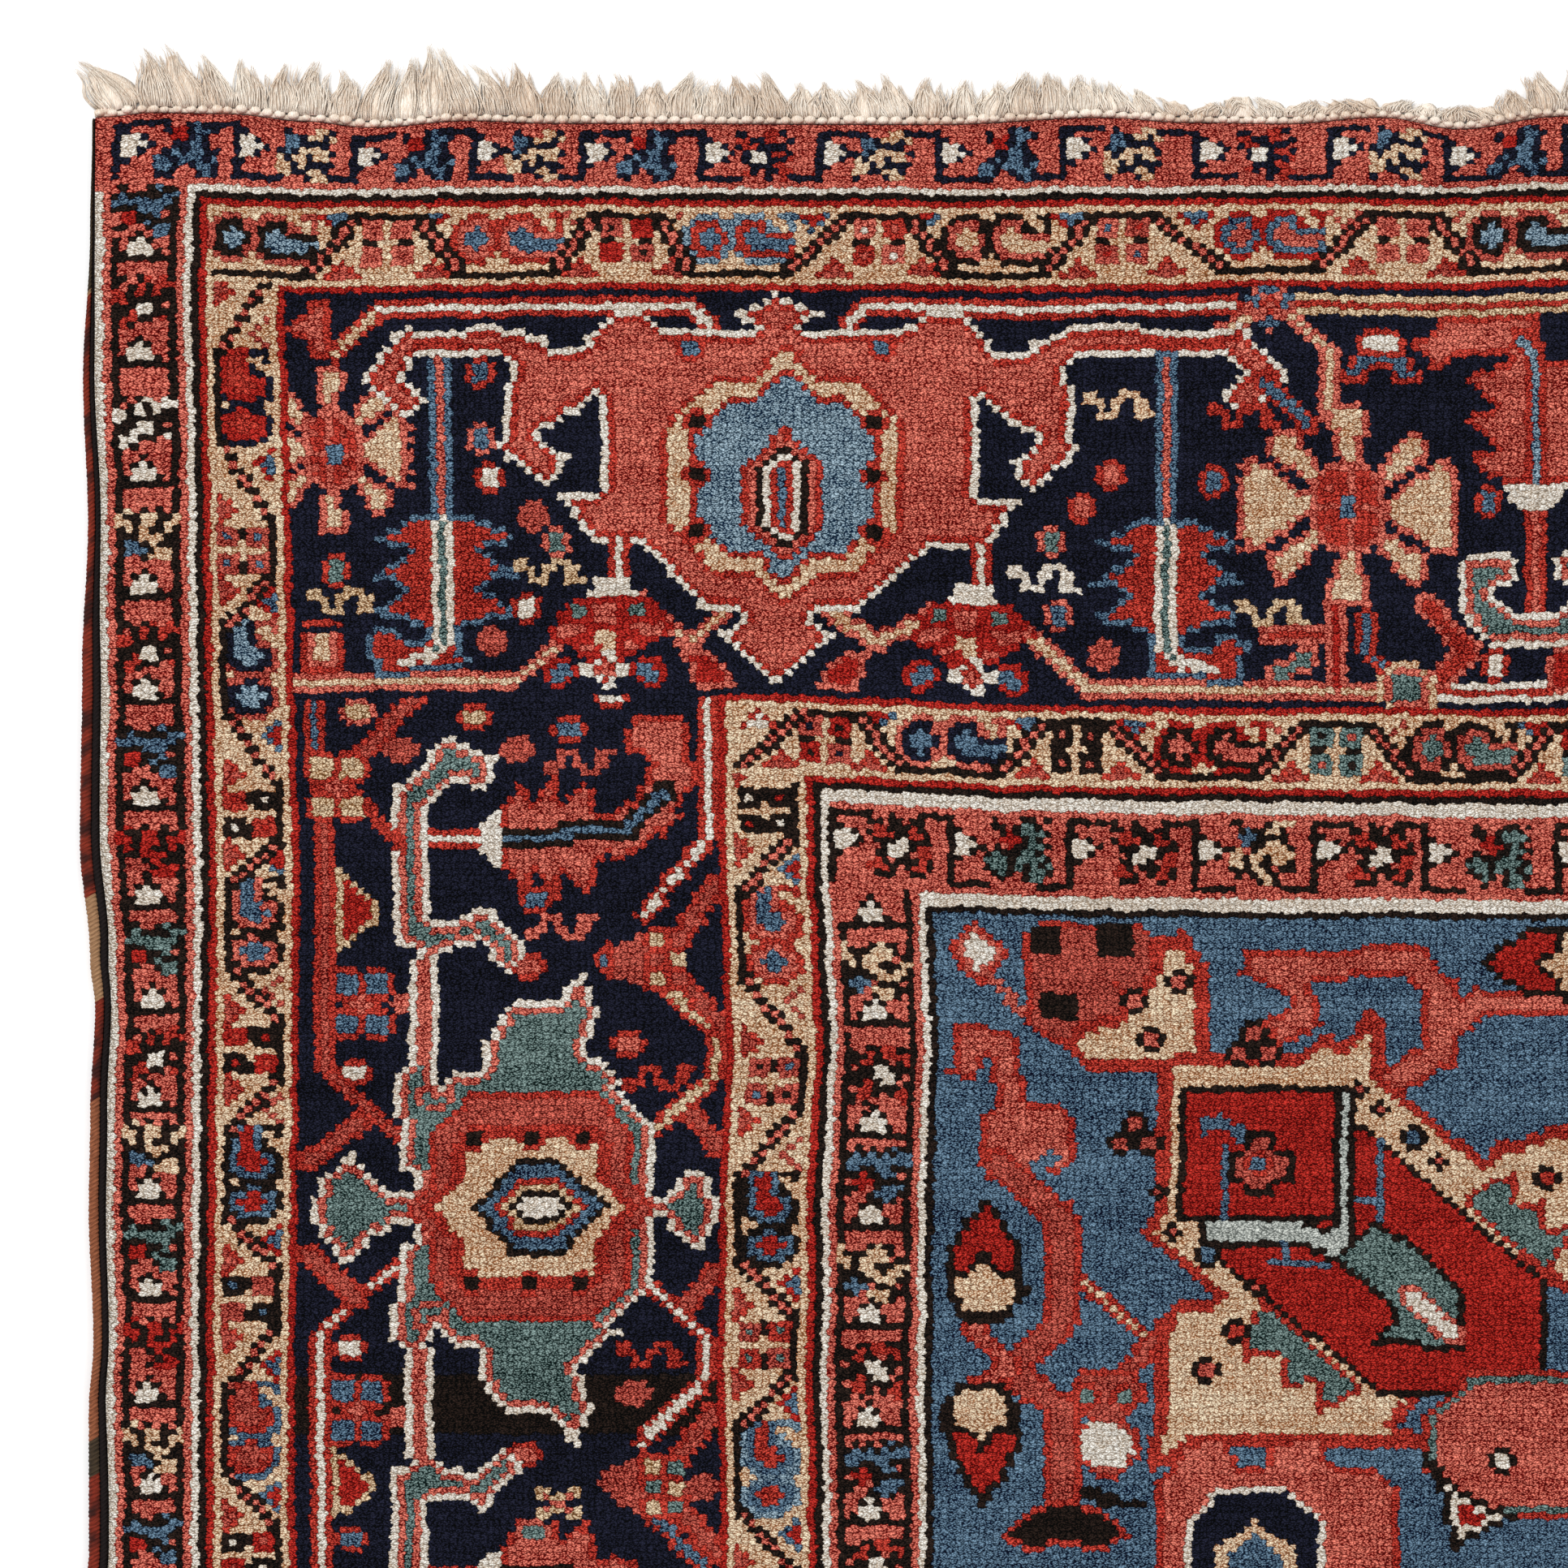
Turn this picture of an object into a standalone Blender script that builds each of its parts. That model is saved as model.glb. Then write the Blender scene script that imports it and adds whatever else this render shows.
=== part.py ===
"""A hand-knotted wool carpet, two metres by about three, lying flat.

The pile rug is one solid. Overcast side cords run down its long sides, and knotted cotton
fringes lie at its ends. X runs across the rug, Y along it and Z up from the floor it lies on.
"""

import math
import random

import bmesh
import bpy
from mathutils import Vector

# Driving dimensions, in metres
PILE_WIDTH = 1.986
PILE_LENGTH = 2.890
PILE_HEIGHT = 0.009  # foundation and wool pile together
PILE_SHOULDER = 0.0015  # the pile's upper edge is rounded off by this much
PART_GAP = 0.0003  # between neighbouring pieces

SELVEDGE_STEPS = 72  # straight stretches along a long side
SELVEDGE_WIDTH = 0.011
OUTER_CORD_HEIGHT = 0.0072
INNER_CORD_HEIGHT = 0.0062
CORD_VALLEY_HEIGHT = 0.0048
OUTER_CORD_SHARE = 0.6  # of the selvedge's width

LOCKS = 124  # at each end
KNOT_ROW_DEPTH = 0.004  # the row of warp knots that the locks hang from
KNOT_ROW_HEIGHT = 0.0042
LOCK_ROOT_SHARE = 0.84  # of the pitch between locks
LOCK_BELLY_WIDTH = 0.0104
LOCK_BELLY_HEIGHT = 0.0052
LOCK_BELLY_AT = 0.5  # of the lock's length
LOCK_CROWN_SHARE = 0.6  # width of a lock's top over the width of its base
LOCK_TIP_WIDTH = 0.0018
LOCK_TIP_HEIGHT = 0.0014
LOCK_MIN_SPACING = 0.0075  # between the tips of neighbouring locks
LOCK_MIN_LENGTH = 0.006
LOCK_UNEVENNESS = 0.16  # of a lock's length
SIDEWAYS_LOCK = 0.0075  # how far the first lock spills past the side cord

MM = 0.001

# How far the top end and the left side stand out from straight, from the top left corner on.
TOP_EDGE = (  # distance mm, outward mm
    (0, 3.2),
    (20, 5.4),
    (62, 4.8),
    (104, 0.8),
    (135, -2.4),
    (186, 1.2),
    (230, -0.2),
    (430, -0.8),
    (515, 2.8),
    (560, 0.2),
    (610, -0.4),
    (660, 3.0),
    (700, -3.2),
    (750, 3.4),
)
LEFT_EDGE = (  # distance mm, outward mm
    (0, -2.4),
    (55, -1.2),
    (130, 2.5),
    (205, 0.0),
    (280, 3.0),
    (370, 4.2),
    (430, -1.0),
    (457, -3.6),
    (510, -1.2),
    (560, -0.4),
    (630, -2.8),
    (665, -0.4),
    (740, -0.4),
)
# The stretches that no table describes wander by two slow waves.
SLOW_WAVE = (0.0026, 0.61)  # height, length
SHORT_WAVE = (0.0011, 0.19)

# How far the fringe reaches from the pile, from the top left corner on.
FRINGE_REACH = (  # distance mm, reach mm
    (0, 30),
    (40, 37),
    (105, 33),
    (155, 36),
    (205, 34),
    (245, 27),
    (330, 26),
    (380, 22),
    (435, 27),
    (495, 22),
    (545, 13),
    (600, 13),
    (670, 11),
    (705, 13),
    (745, 23),
)
PLAIN_REACH = 0.025  # past the table, and at the other end
REACH_WAVE = (0.007, 0.47)
LEAN_WAVES = ((0.26, 0.170, 3.6), (0.11, 0.071, 1.0))  # lean, wavelength, phase
LEAN_UNEVENNESS = 0.04

WOOL_RED = (0.42, 0.10, 0.06, 1.0)
WOOL_RUST = (0.16, 0.05, 0.025, 1.0)
COTTON = (0.70, 0.56, 0.43, 1.0)


def clear_scene():
    for obj in list(bpy.data.objects):
        bpy.data.objects.remove(obj)


def make_material(name, colour, roughness):
    material = bpy.data.materials.new(name)
    material.use_nodes = True
    shader = material.node_tree.nodes["Principled BSDF"]
    shader.inputs["Base Color"].default_value = colour
    shader.inputs["Roughness"].default_value = roughness
    shader.inputs["Metallic"].default_value = 0.0
    return material


def make_object(name, bm, material):
    bmesh.ops.recalc_face_normals(bm, faces=bm.faces)
    mesh = bpy.data.meshes.new(name)
    bm.to_mesh(mesh)
    bm.free()
    obj = bpy.data.objects.new(name, mesh)
    obj.data.materials.append(material)
    bpy.context.scene.collection.objects.link(obj)
    return obj


def read_table(table, distance):
    """The table's second column at this distance, eased from row to row, both in metres."""
    for (start, before), (end, after) in zip(table, table[1:]):
        if distance <= end * MM:
            share = max(0.0, (distance / MM - start) / (end - start))
            eased = (1 - math.cos(math.pi * share)) / 2
            return (before + (after - before) * eased) * MM
    return table[-1][1] * MM


def wander(distance, table=(), phase=0.0):
    """How far an edge stands out from straight, this far along it from its start."""
    described = table[-1][0] * MM if table else 0.0
    offset = read_table(table, distance) if table else 0.0
    past = max(0.0, distance - described)
    for height, length in (SLOW_WAVE, SHORT_WAVE):
        offset += height * (math.sin(math.tau * past / length + phase) - math.sin(phase))
    return offset


def top_y(x):
    return PILE_LENGTH / 2 + wander(x + PILE_WIDTH / 2, TOP_EDGE)


def bottom_y(x):
    return -PILE_LENGTH / 2 - wander(x + PILE_WIDTH / 2, phase=0.7)


def left_x(y):
    return -PILE_WIDTH / 2 - wander(PILE_LENGTH / 2 - y, LEFT_EDGE)


def right_x(y):
    return PILE_WIDTH / 2 + wander(PILE_LENGTH / 2 - y, phase=2.1)


def evenly(start, end, steps):
    return [start + (end - start) * i / steps for i in range(steps + 1)]


def end_line(y_at):
    """The pile's edge at one end, from left to right: a straight stretch for each lock."""
    xs = evenly(-PILE_WIDTH / 2, PILE_WIDTH / 2, LOCKS)
    points = [Vector((x, y_at(x), 0)) for x in xs]
    points[0].x = left_x(points[0].y)
    points[-1].x = right_x(points[-1].y)
    return points


def side_line(x_at, top, bottom):
    """The pile's edge on one side, from its top corner to its bottom corner."""
    ys = evenly(top.y, bottom.y, SELVEDGE_STEPS)
    inner = [Vector((x_at(y), y, 0)) for y in ys[1:-1]]
    return [top, *inner, bottom]


def rug_body(top, bottom, left, right, material):
    """The knotted cloth: its outline raised to the pile's height, with a rounded upper edge."""
    outline = top + right[1:-1] + bottom[::-1] + left[-2:0:-1]
    bm = bmesh.new()
    base = bm.faces.new([bm.verts.new(point) for point in outline])
    raised = bmesh.ops.extrude_face_region(bm, geom=[base])["geom"]
    crown = [v for v in raised if isinstance(v, bmesh.types.BMVert)]
    bmesh.ops.translate(bm, verts=crown, vec=(0, 0, PILE_HEIGHT))
    crown_set = set(crown)
    rim = [e for e in bm.edges if e.verts[0] in crown_set and e.verts[1] in crown_set]
    bmesh.ops.bevel(
        bm, geom=rim, offset=PILE_SHOULDER, segments=1, profile=0.5, affect="EDGES"
    )
    return make_object("rug_body", bm, material)


def selvedge_section():
    """Two overcast cords side by side, as (distance out from the pile, height)."""
    width = SELVEDGE_WIDTH
    inner_width = width * (1 - OUTER_CORD_SHARE)
    return (
        (PART_GAP, 0.0),
        (PART_GAP, INNER_CORD_HEIGHT * 0.75),
        (inner_width * 0.5, INNER_CORD_HEIGHT),
        (inner_width, CORD_VALLEY_HEIGHT),
        (inner_width + width * OUTER_CORD_SHARE * 0.3, OUTER_CORD_HEIGHT),
        (inner_width + width * OUTER_CORD_SHARE * 0.7, OUTER_CORD_HEIGHT),
        (width, OUTER_CORD_HEIGHT * 0.5),
        (width - OUTER_CORD_HEIGHT * 0.25, 0.0),
    )


def selvedge(name, line, outward, material):
    """The side cords: one section swept down the pile's edge. outward is -1 on the left."""
    bm = bmesh.new()
    rings = []
    for point in line:
        ring = [
            bm.verts.new((point.x + outward * out, point.y, height))
            for out, height in selvedge_section()
        ]
        rings.append(ring)
    for ring, following in zip(rings, rings[1:]):
        for i in range(len(ring)):
            j = (i + 1) % len(ring)
            bm.faces.new((ring[i], ring[j], following[j], following[i]))
    bm.faces.new(rings[0])
    bm.faces.new(rings[-1][::-1])
    return make_object(name, bm, material)


def reach_at(distance, table):
    """How far the fringe reaches from the pile, this far along it."""
    if table and distance <= table[-1][0] * MM:
        return read_table(table, distance)
    height, length = REACH_WAVE
    past = distance - (table[-1][0] * MM if table else 0.0)
    return PLAIN_REACH + height * math.sin(math.tau * past / length)


def lock_plan(line, table, seed):
    """Each lock's root, length and tip: (left corner, right corner, length, tip's x)."""
    draw = random.Random(seed)
    plan = []
    last_tip = -PILE_WIDTH
    for i, (start, end) in enumerate(zip(line, line[1:])):
        pitch = end - start
        margin = (1 - LOCK_ROOT_SHARE) / 2
        left = start + pitch * margin
        right = end - pitch * margin
        distance = left.x + PILE_WIDTH / 2
        length = reach_at(distance, table) * (1 + LOCK_UNEVENNESS * draw.uniform(-1, 1))
        length = max(LOCK_MIN_LENGTH, length - KNOT_ROW_DEPTH)
        lean = LEAN_UNEVENNESS * draw.uniform(-1, 1)
        for size, wavelength, phase in LEAN_WAVES:
            lean += size * math.sin(math.tau * distance / wavelength + phase)
        tip = (left.x + right.x) / 2 + lean * length
        if i == 0:
            tip = line[0].x - SELVEDGE_WIDTH - SIDEWAYS_LOCK
        tip = max(tip, last_tip + LOCK_MIN_SPACING)
        last_tip = tip
        plan.append((left, right, length, tip))
    return plan


def knot_row(bm, plan, line, outward):
    """The strip of warp knots. Returns the faces that the locks grow from."""
    first = line[0] - Vector((SELVEDGE_WIDTH, 0, 0))
    last = line[-1] + Vector((SELVEDGE_WIDTH, 0, 0))
    stations = [first]
    for left, right, _length, _tip in plan:
        stations += [left, right]
    stations.append(last)
    near = Vector((0, outward * PART_GAP, 0))
    far = Vector((0, outward * (PART_GAP + KNOT_ROW_DEPTH), 0))
    up = Vector((0, 0, KNOT_ROW_HEIGHT))
    rings = [
        [bm.verts.new(p) for p in (s + near, s + far, s + far + up, s + near + up)]
        for s in stations
    ]
    roots = []
    for i, (ring, following) in enumerate(zip(rings, rings[1:])):
        for j in range(4):
            k = (j + 1) % 4
            face = bm.faces.new((ring[j], ring[k], following[k], following[j]))
            if j == 1 and i % 2 == 1:
                roots.append(face)
    bm.faces.new(rings[0])
    bm.faces.new(rings[-1][::-1])
    return roots


def grow(bm, face, centre_x, y, width, height):
    """Extrudes a lock's end face to a new four-sided section, flat on the floor."""
    made = bmesh.ops.extrude_discrete_faces(bm, faces=[face])["faces"][0]
    middle = made.calc_center_median()
    for vert in made.verts:
        side = 1 if vert.co.x > middle.x else -1
        on_top = vert.co.z > middle.z
        half = width / 2 * (LOCK_CROWN_SHARE if on_top else 1)
        vert.co = Vector((centre_x + side * half, y, height if on_top else 0.0))
    return made


def fringe(name, line, outward, table, seed, material):
    """The knotted warp ends: frayed cotton locks, apart but for the knots at their roots."""
    bm = bmesh.new()
    plan = lock_plan(line, table, seed)
    roots = knot_row(bm, plan, line, outward)
    bmesh.ops.recalc_face_normals(bm, faces=bm.faces)
    for (left, right, length, tip), root in zip(plan, roots):
        root_x = (left.x + right.x) / 2
        root_y = (left.y + right.y) / 2 + outward * (PART_GAP + KNOT_ROW_DEPTH)
        belly_x = root_x + (tip - root_x) * LOCK_BELLY_AT**1.5
        belly_y = root_y + outward * length * LOCK_BELLY_AT
        belly = grow(bm, root, belly_x, belly_y, LOCK_BELLY_WIDTH, LOCK_BELLY_HEIGHT)
        grow(bm, belly, tip, root_y + outward * length, LOCK_TIP_WIDTH, LOCK_TIP_HEIGHT)
    return make_object(name, bm, material)


def main():
    clear_scene()
    wool = make_material("pile_wool", WOOL_RED, 0.95)
    rust = make_material("selvedge_wool", WOOL_RUST, 0.9)
    cotton = make_material("fringe_cotton", COTTON, 0.92)

    top = end_line(top_y)
    bottom = end_line(bottom_y)
    left = side_line(left_x, top[0], bottom[0])
    right = side_line(right_x, top[-1], bottom[-1])

    rug_body(top, bottom, left, right, wool)
    selvedge("selvedge_left", left, -1, rust)
    selvedge("selvedge_right", right, 1, rust)
    fringe("fringe_top", top, 1, FRINGE_REACH, 7, cotton)
    fringe("fringe_bottom", bottom, -1, (), 11, cotton)


main()
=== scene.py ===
"""The looks of a hand-knotted wool carpet: knotted pile, overcast side cords and frayed fringes.

The pile's design is drawn first, as a weaver's cartoon: a chart with one wool for each knot.
The pile piece then carries that chart, and its material turns it into single knots of wool.
X runs across the rug, Y along it and Z up, in metres.
"""

import math
import random

import bpy
import numpy as np
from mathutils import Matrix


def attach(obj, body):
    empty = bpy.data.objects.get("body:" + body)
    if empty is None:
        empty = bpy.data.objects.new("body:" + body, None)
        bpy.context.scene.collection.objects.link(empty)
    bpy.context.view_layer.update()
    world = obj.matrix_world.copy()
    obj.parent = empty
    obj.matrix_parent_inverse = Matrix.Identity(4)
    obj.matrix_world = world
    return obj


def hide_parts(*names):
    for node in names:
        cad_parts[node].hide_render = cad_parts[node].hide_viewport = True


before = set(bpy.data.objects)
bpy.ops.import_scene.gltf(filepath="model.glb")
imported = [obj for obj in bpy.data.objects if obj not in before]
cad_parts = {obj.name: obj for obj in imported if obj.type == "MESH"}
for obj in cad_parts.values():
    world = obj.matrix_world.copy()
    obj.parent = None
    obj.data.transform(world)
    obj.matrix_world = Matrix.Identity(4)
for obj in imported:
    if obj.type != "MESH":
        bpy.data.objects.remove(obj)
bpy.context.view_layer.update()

# The rug's own sizes
PILE_WIDTH = 1.986
PILE_LENGTH = 2.890
PILE_HEIGHT = 0.009
PART_GAP = 0.0003
SELVEDGE_WIDTH = 0.011
OUTER_CORD_HEIGHT = 0.0072
INNER_CORD_HEIGHT = 0.0062
OUTER_CORD_SHARE = 0.6
LOCKS = 124
KNOT_ROW_DEPTH = 0.004
LOCK_ROOT_SHARE = 0.84
LOCK_MIN_SPACING = 0.0075
LOCK_MIN_LENGTH = 0.006
LOCK_UNEVENNESS = 0.16
SIDEWAYS_LOCK = 0.0075
MM = 0.001

# How far the top end and the left side stand out from straight. Each pair in this table and
# those below is a distance from the corner and the value there, both in mm.
TOP_EDGE = (
    (0, 3.2), (20, 5.4), (62, 4.8), (104, 0.8), (135, -2.4), (186, 1.2), (230, -0.2), (430, -0.8),
    (515, 2.8), (560, 0.2), (610, -0.4), (660, 3.0), (700, -3.2), (750, 3.4),
)
LEFT_EDGE = (
    (0, -2.4), (55, -1.2), (130, 2.5), (205, 0.0), (280, 3.0), (370, 4.2), (430, -1.0),
    (457, -3.6), (510, -1.2), (560, -0.4), (630, -2.8), (665, -0.4), (740, -0.4),
)
# Width of the left side's two cords, which narrow towards the corner
LEFT_CORD_WIDTH = (
    (0, 2.0), (60, 3.0), (125, 6.4), (210, 7.2), (295, 10.4), (400, 11.0), (465, 9.0), (545, 9.6),
    (630, 8.6), (720, 11.0),
)
# Past the tables an edge wanders in two waves: height and length
EDGE_WAVES = ((0.0026, 0.61), (0.0011, 0.19))
BOTTOM_PHASE = 0.7
RIGHT_PHASE = 2.1
EDGE_FADE = 0.045  # how far into the pile an edge's wander is felt

# How far the top fringe reaches from the pile
FRINGE_REACH = (
    (0, 30), (40, 37), (105, 33), (155, 36), (205, 34), (245, 27), (330, 26), (380, 22),
    (435, 27), (495, 22), (545, 13), (600, 13), (670, 11), (705, 13), (745, 23),
)
PLAIN_REACH = 0.025  # and the bottom one, give or take a wave of this height and length
REACH_WAVE = (0.007, 0.47)
LEAN_WAVES = ((0.26, 0.170, 3.6), (0.11, 0.071, 1.0))  # sideways for each metre, length, phase
LEAN_UNEVENNESS = 0.04

# How far the borders' lines drift inward from straight
SIDE_DRIFT_OUTER = (
    (0, 0), (62, -3.0), (96, -4.2), (138, -3.0), (205, -1.0), (272, 0.5), (331, 2.5), (398, 3.8),
    (499, 3.4), (566, 2.5), (667, 1.5), (748, 2.0), (1445, 0),
)
SIDE_DRIFT_INNER = (
    (0, 0), (377, -1.5), (444, 1.5), (478, 3.5), (520, 1.0), (553, -1.0), (587, -1.0),
    (646, -2.0), (713, -0.5), (1445, 0),
)
END_DRIFT_OUTER = (
    (0, -2.0), (45, -3.4), (112, -0.4), (180, -1.3), (263, -2.5), (347, -1.3), (415, -2.1),
    (465, -0.8), (549, -2.5), (616, -4.2), (683, -2.5), (751, -5.0), (993, 0),
)
END_DRIFT_INNER = (
    (0, 0), (347, -2.5), (390, -1.2), (430, 1.2), (465, 3.0), (530, 4.5), (590, 5.0), (650, 5.5),
    (720, 6.5), (993, 0),
)
OUTER_LINES_AT = 0.075  # how deep in the border the outer lines lie
INNER_LINES_AT = 0.345

# Knots
KNOTS_ACROSS = 520
KNOTS_ALONG = 852
KNOT_WIDTH = PILE_WIDTH / KNOTS_ACROSS
KNOT_HEIGHT = PILE_LENGTH / KNOTS_ALONG
HALF_ACROSS = KNOTS_ACROSS // 2
HALF_ALONG = KNOTS_ALONG // 2

# Each border's rows, counted from the end, and its columns, counted from the side
OUTER_GUARD = ((0, 10), (1, 11))
OUTER_TAN = ((13, 25), (14, 24))
MAIN_BORDER = ((26, 88), (25, 83))
INNER_TAN = ((89, 100), (84, 95))
INNER_GUARD = ((104, 117), (98, 110))
FIELD = (120, 112)  # its first row and column

# The main border and the field are drawn on paper ruled in squares, and their places and sizes
# are in squares. The guard and tan borders are charted knot by knot.
SQUARE = 0.0042
PAPER_CORNER = (13.3, 15.2)  # the pile's corner on the paper
PAPER_KNOT = (KNOT_WIDTH / SQUARE, KNOT_HEIGHT / SQUARE)
AXIS_X = PAPER_CORNER[0] + HALF_ACROSS * PAPER_KNOT[0]
AXIS_Y = PAPER_CORNER[1] + HALF_ALONG * PAPER_KNOT[1]

# Dyed wools: letter on the charts, and as sRGB the colour with painted shade between the tufts and with a
# painted highlight on their tips
WOOLS = {
    "salmon": ("s", (142, 29, 22), (255, 142, 121)),
    "coral": ("o", (122, 25, 19), (234, 114, 97)),
    "madder": ("m", (120, 11, 7), (230, 80, 64)),
    "red": ("r", (122, 7, 4), (214, 56, 46)),
    "navy": ("n", (5, 7, 18), (36, 38, 58)),
    "blue": ("b", (26, 51, 75), (120, 151, 175)),
    "sky": ("k", (53, 81, 101), (172, 196, 210)),
    "teal": ("t", (46, 68, 66), (142, 166, 162)),
    "mist": ("g", (150, 156, 150), (224, 228, 220)),
    "camel": ("c", (188, 134, 96), (255, 238, 206)),
    "sand": ("a", (164, 122, 84), (252, 228, 192)),
    "ivory": ("i", (206, 188, 168), (255, 252, 244)),
    "dark": ("d", (10, 6, 4), (50, 36, 30)),
}
WOOL = {name: number for number, name in enumerate(WOOLS)}
LETTERS = {letter: name for name, (letter, *_) in WOOLS.items()}


def by_letter(letters):
    return [LETTERS[letter] for letter in letters]


# --- Drawing on the chart -------------------------------------------------------------------


def shrink(mask):
    """The mask without its outermost knots. A mask has an empty line all round it."""
    inner = np.zeros_like(mask)
    inner[1:-1, 1:-1] = (
        mask[1:-1, 1:-1] & mask[:-2, 1:-1] & mask[2:, 1:-1] & mask[1:-1, :-2] & mask[1:-1, 2:]
    )
    return inner


def mirrored(half):
    """A closed outline from its half at x above 0, listed from top to bottom."""
    return [*half, *[(-x, y) for x, y in reversed(half)]]


def turned(points, angle, centre=(0.0, 0.0)):
    """The points turned about the origin and then moved to the centre."""
    cosine, sine = math.cos(angle), math.sin(angle)
    return [
        (centre[0] + x * cosine - y * sine, centre[1] + x * sine + y * cosine) for x, y in points
    ]


class Pen:
    """Draws a quarter of the chart. Its own axes run along a border and inward across it."""

    def __init__(self, chart, centre=(0, 0), flip=1, sideways=False, turn_in=1):
        self.chart = chart
        self.centre = centre
        self.flip = flip
        self.sideways = sideways
        self.turn_in = turn_in

    def at(self, x, y, flip=1):
        """A pen of the same kind, centred on a point of this one."""
        centre = self.paper([(x, y)])[0]
        return Pen(self.chart, centre, self.flip * flip, self.sideways, self.turn_in)

    def paper(self, points):
        along = np.array([x for x, _ in points], float) * self.flip
        inward = np.array([y for _, y in points], float) * self.turn_in
        x, y = (inward, along) if self.sideways else (along, inward)
        return np.stack([self.centre[0] + x, self.centre[1] + y], axis=1)

    @staticmethod
    def window(points, margin):
        """The knots round these points: first row and column, and the knots' places on paper."""
        low = (points.min(0) - margin - PAPER_CORNER) / PAPER_KNOT
        high = (points.max(0) + margin - PAPER_CORNER) / PAPER_KNOT
        first_col, first_row = np.floor(low).astype(int) - 1
        last_col, last_row = np.ceil(high).astype(int) + 1
        x = PAPER_CORNER[0] + (np.arange(first_col, last_col) + 0.5) * PAPER_KNOT[0]
        y = PAPER_CORNER[1] + (np.arange(first_row, last_row) + 0.5) * PAPER_KNOT[1]
        return first_row, first_col, x[None, :], y[:, None]

    def put(self, row, col, mask, wool):
        rows, cols = self.chart.shape
        top, left = max(0, -row), max(0, -col)
        mask = mask[top : max(0, rows - row), left : max(0, cols - col)]
        if mask.size:
            spot = self.chart[row + top :, col + left :][: mask.shape[0], : mask.shape[1]]
            spot[mask] = WOOL[wool]

    def paint(self, row, col, mask, wools):
        """One knot's line of each wool from the edge inward, and the last wool inside."""
        for i, wool in enumerate(wools):
            self.put(row, col, mask, wool)
            if i < len(wools) - 1:
                mask = shrink(mask)

    def shape(self, points, *wools):
        self.joined([points], *wools)

    def joined(self, parts, *wools):
        """Draws several outlines as one, with their rims running round all of them together."""
        outlines = [self.paper(points) for points in parts]
        row, col, x, y = self.window(np.concatenate(outlines), 0)
        mask = np.zeros((y.size, x.size), bool)
        for outline in outlines:
            inside = np.zeros_like(mask)
            for (xa, ya), (xb, yb) in zip(outline, np.roll(outline, -1, 0)):
                if ya != yb:
                    inside ^= ((ya > y) != (yb > y)) & (x < xa + (y - ya) * (xb - xa) / (yb - ya))
            mask |= inside
        self.paint(row, col, mask, wools)

    def line(self, points, width, *wools):
        """A line of this width. It runs through the middles of knots, so that it keeps its width."""
        knots = np.floor((self.paper(points) - PAPER_CORNER) / PAPER_KNOT)
        path = (knots + 0.5) * PAPER_KNOT + PAPER_CORNER
        row, col, x, y = self.window(path, width)
        mask = np.zeros((y.size, x.size), bool)
        for (xa, ya), (xb, yb) in zip(path, path[1:]):
            squared_length = max((xb - xa) ** 2 + (yb - ya) ** 2, 1e-9)
            share = ((x - xa) * (xb - xa) + (y - ya) * (yb - ya)) / squared_length
            share = np.clip(share, 0, 1)
            away = np.hypot(x - xa - share * (xb - xa), y - ya - share * (yb - ya))
            mask |= away <= width / 2
        self.paint(row, col, mask, wools)

    def figure(self, drawing, x, y, **swap):
        """A small figure charted knot by knot, centred on a point. A dot leaves a knot as it is."""
        letters = np.array([list(line) for line in drawing])
        if self.flip < 0:
            letters = letters[:, ::-1]
        if self.turn_in < 0:
            letters = letters[::-1]
        if self.sideways:
            letters = letters.T
        centre = self.paper([(x, y)])[0]
        col, row = (centre - PAPER_CORNER) / PAPER_KNOT
        row = round(row - letters.shape[0] / 2)
        col = round(col - letters.shape[1] / 2)
        for letter in set(letters.ravel()) - {"."}:
            self.put(row, col, letters == letter, swap.get(letter) or LETTERS[letter])


# --- Small figures, charted knot by knot ----------------------------------------------------

GUARD_IVORY = (
    "l...",
    "iil.",
    "iiil",
    "iil.",
    "l...",
)
# l: line, f: the flower's wool, h: its other wool, r: its heart
GUARD_FLOWERS = {
    "leaf": (
        ".l..lfl.",
        ".lrrlffl",
        "..rrlfl.",
        "..llffl.",
        ".lflffll",
        "fflffflf",
        "ffl.lffl",
        "ll...lfl",
    ),
    "branch": (
        ".l...ffl",
        ".hhlfflf",
        ".hhllll.",
        "lhlffffl",
        "flfflff.",
        "fflfllll",
        "ffllffl.",
        "l...lff.",
    ),
    "cross": (
        "ll..ffl.",
        "ffllff.l",
        "lffllll.",
        ".liilffl",
        ".liilllf",
        "..lllff.",
        ".fl.llff",
        "....l.fl",
    ),
    "tall leaf": (
        ".l...ll.l",
        ".ll.lffl.",
        "..lrlfffl",
        "..rrrlfl.",
        ".l.rllffl",
        "lflllffl.",
        "ffflffffl",
        "lfflflflf",
        ".lfl.lffl",
        "..l..lff.",
    ),
    "tall branch": (
        "ll...lfff",
        ".lhllffl.",
        ".hhhllll.",
        "..hllffl.",
        "lf.lffffl",
        "fflfflfff",
        "fflfllffl",
        "lllffl.ll",
        ".l.lffl..",
        "....lfl..",
    ),
    "tall cross": (
        "l..l...l.",
        "ll.ll.ll.",
        ".fflllfl.",
        "lfffllffl",
        ".llliilll",
        "..liiilff",
        ".lliil.ff",
        ".fl.lllfl",
        "fffl.lffl",
        ".lll..ll.",
    ),
}
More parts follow.
